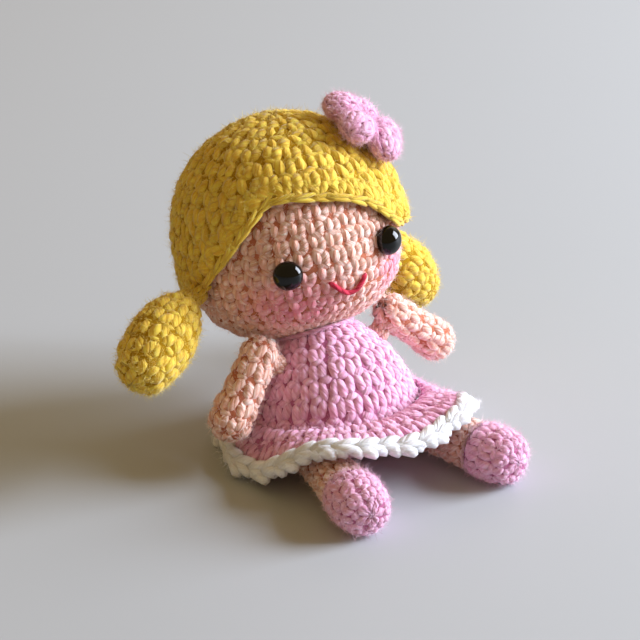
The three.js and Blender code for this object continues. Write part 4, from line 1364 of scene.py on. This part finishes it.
class DOLL_OT_seams(bpy.types.Operator):
    """Sew the head and the arms on"""

    bl_idname = "doll.seams"
    bl_label = "Seams"

    def execute(self, context):
        kit = Kit.of(context.scene)
        points = node_points("neck_seam")
        centre = points.mean(axis=0)
        flat = points - centre
        flat = flat - (flat @ NECK_WAY)[:, None] * NECK_WAY
        radius = np.linalg.norm(flat, axis=1).mean() - 1.5 * MM  # drawn in under the bodice's top round
        first = unit(flat[0])
        ring = circle(first, np.cross(NECK_WAY, first), np.linspace(0, 2 * math.pi, 72, endpoint=False))
        made = strand("neck_seam_yarn", centre + ring * radius, kit.yarn.seam_radius, kit.materials["pink"], ring)
        finish_piece(made, "torso", ["neck_seam"])
        for seed, side in enumerate(SIDES):
            name = f"shoulder_seam_{side}"
            centre = node_points(name).mean(axis=0)
            arm = joint_point(f"{side}_shoulder")
            made = stub(kit, f"{name}_yarn", centre - unit(arm - centre) * 1.4 * MM, arm, 2.3 * MM, "skin", 97 + seed)
            finish_piece(made, "torso", [name])
        return {"FINISHED"}


class DOLL_OT_filling(bpy.types.Operator):
    """Pull the fibre filling into loose lumps and finish the washers"""

    bl_idname = "doll.filling"
    bl_label = "Filling"

    def execute(self, context):
        fluff = plain_material("polyester fibre filling", linear("#f6f4f0"), linear("#dedad4"), 900.0, 0.95)
        tufts = bpy.data.textures.new("tufts", "CLOUDS")
        tufts.noise_scale = 2.5 * MM
        for name, body in (
            ("head_stuffing", "head"),
            ("body_stuffing", "torso"),
            *((f"{limb}_stuffing_{side}", f"{side}_{limb}") for limb in ("arm", "leg") for side in SIDES),
        ):
            made = new_object(name.replace("stuffing", "filling"), frame["nodes"][name].data.copy(), fluff)
            clean(made, weld=True, outward=False)
            even = made.modifiers.new("even", "REMESH")
            even.mode = "VOXEL"
            even.voxel_size = 0.8 * MM
            tuft = made.modifiers.new("tufts", "DISPLACE")
            tuft.texture = tufts
            tuft.strength = -0.8 * MM
            tuft.mid_level = 0.0
            apply_modifiers(made)
            finish_piece(made, body, [name])
        moulded = plastic_material("moulded washer plastic", linear("#e9e9e6"), 0.4, 300.0)
        for side in SIDES:
            washer = frame["nodes"][f"eye_washer_{side}"]
            for slot in washer.material_slots:
                slot.material = moulded
        return {"FINISHED"}


class DOLL_OT_stage(bpy.types.Operator):
    """Set the camera, the window light and the floor"""

    bl_idname = "doll.stage"
    bl_label = "Stage"

    def execute(self, context):
        scene = context.scene
        stage = scene.doll_stage
        tones = scene.doll_colours
        target = Vector((1 * MM, 5 * MM, 24 * MM))
        a, e = stage.azimuth, stage.elevation
        back = Vector((math.sin(a) * math.cos(e), -math.cos(a) * math.cos(e), math.sin(e)))
        camera = bpy.data.objects.new("camera", bpy.data.cameras.new("camera"))
        scene.collection.objects.link(camera)
        camera.data.lens = stage.lens
        camera.data.sensor_width = 36
        camera.data.clip_start = 0.01
        camera.location = target + back * stage.distance
        camera.rotation_mode = "QUATERNION"
        camera.rotation_quaternion = (-back).to_track_quat("-Z", "Y")
        scene.camera = camera
        right = Vector((math.cos(a), math.sin(a), 0))
        up = back.cross(right)

        def lamp(name, ways, distance, width, height, power, shade):
            light = bpy.data.lights.new(name, "AREA")
            light.shape = "RECTANGLE"
            light.size, light.size_y = width, height
            light.energy = power
            light.color = linear(shade)[:3]
            made = bpy.data.objects.new(name, light)
            scene.collection.objects.link(made)
            way = (right * ways[0] + up * ways[1] + back * ways[2]).normalized()
            made.location = target + way * distance
            made.rotation_mode = "QUATERNION"
            made.rotation_quaternion = way.to_track_quat("Z", "Y")

        lamp("window", (0.905, 0.42, 0.04), 1.1, 0.6, 0.75, stage.window_power, "#e8f0ff")
        lamp("far_window", (0.45, 0.75, -0.55), 1.6, 1.1, 0.9, stage.window_power * 0.1, "#f6f2ee")

        bpy.ops.object.select_all(action="DESELECT")
        bpy.ops.mesh.primitive_plane_add(size=1.0)
        floor = bpy.context.object
        floor.name = "floor"
        floor.data.transform(Matrix.Scale(6, 4))
        darker = [c * 0.985 for c in tones.floor[:3]] + [1]
        floor.data.materials.append(plain_material("matt painted board", list(tones.floor), darker, 8.0, 0.6))

        world = bpy.data.worlds.new("room")
        scene.world = world
        tree = empty_tree(world)
        path = add(tree, "ShaderNodeLightPath")
        seen = add(tree, "ShaderNodeBackground", {"Color": list(tones.wall), "Strength": 1.0})
        room = add(tree, "ShaderNodeBackground", {"Color": linear("#ffdca0"), "Strength": stage.sky})
        inputs = {0: path.outputs["Is Camera Ray"], 1: room.outputs[0], 2: seen.outputs[0]}
        mixed = add(tree, "ShaderNodeMixShader", inputs)
        add(tree, "ShaderNodeOutputWorld", {"Surface": mixed.outputs[0]})
        scene.view_settings.view_transform = "Standard"
        return {"FINISHED"}


class DOLL_PT_panel(bpy.types.Panel):
    """Lists the doll's pieces"""

    bl_idname = "DOLL_PT_panel"
    bl_label = "Crochet Doll"
    bl_space_type = "VIEW_3D"
    bl_region_type = "UI"
    bl_category = "Crochet Doll"

    def draw(self, context):
        for operator in OPERATORS:
            self.layout.operator(operator.bl_idname)


OPERATORS = (
    DOLL_OT_stage,
    DOLL_OT_head,
    DOLL_OT_hair,
    DOLL_OT_pigtails,
    DOLL_OT_flower,
    DOLL_OT_eyes,
    DOLL_OT_smile,
    DOLL_OT_body,
    DOLL_OT_skirt,
    DOLL_OT_arms,
    DOLL_OT_legs,
    DOLL_OT_seams,
    DOLL_OT_filling,
)
SETTINGS = {"doll_yarn": YarnSettings, "doll_colours": ColourSettings, "doll_stage": StageSettings}


def register():
    for name, settings in SETTINGS.items():
        bpy.utils.register_class(settings)
        setattr(bpy.types.Scene, name, bpy.props.PointerProperty(type=settings))
    for cls in (*OPERATORS, DOLL_PT_panel):
        bpy.utils.register_class(cls)


def unregister():
    for cls in reversed((*OPERATORS, DOLL_PT_panel)):
        bpy.utils.unregister_class(cls)
    for name, settings in SETTINGS.items():
        delattr(bpy.types.Scene, name)
        bpy.utils.unregister_class(settings)


def main():
    register()
    bpy.ops.doll.stage()
    bpy.ops.doll.head()
    bpy.ops.doll.hair()
    bpy.ops.doll.pigtails()
    bpy.ops.doll.flower()
    bpy.ops.doll.eyes()
    bpy.ops.doll.smile()
    bpy.ops.doll.body()
    bpy.ops.doll.skirt()
    bpy.ops.doll.arms()
    bpy.ops.doll.legs()
    bpy.ops.doll.seams()
    bpy.ops.doll.filling()


if __name__ == "__main__":
    main()
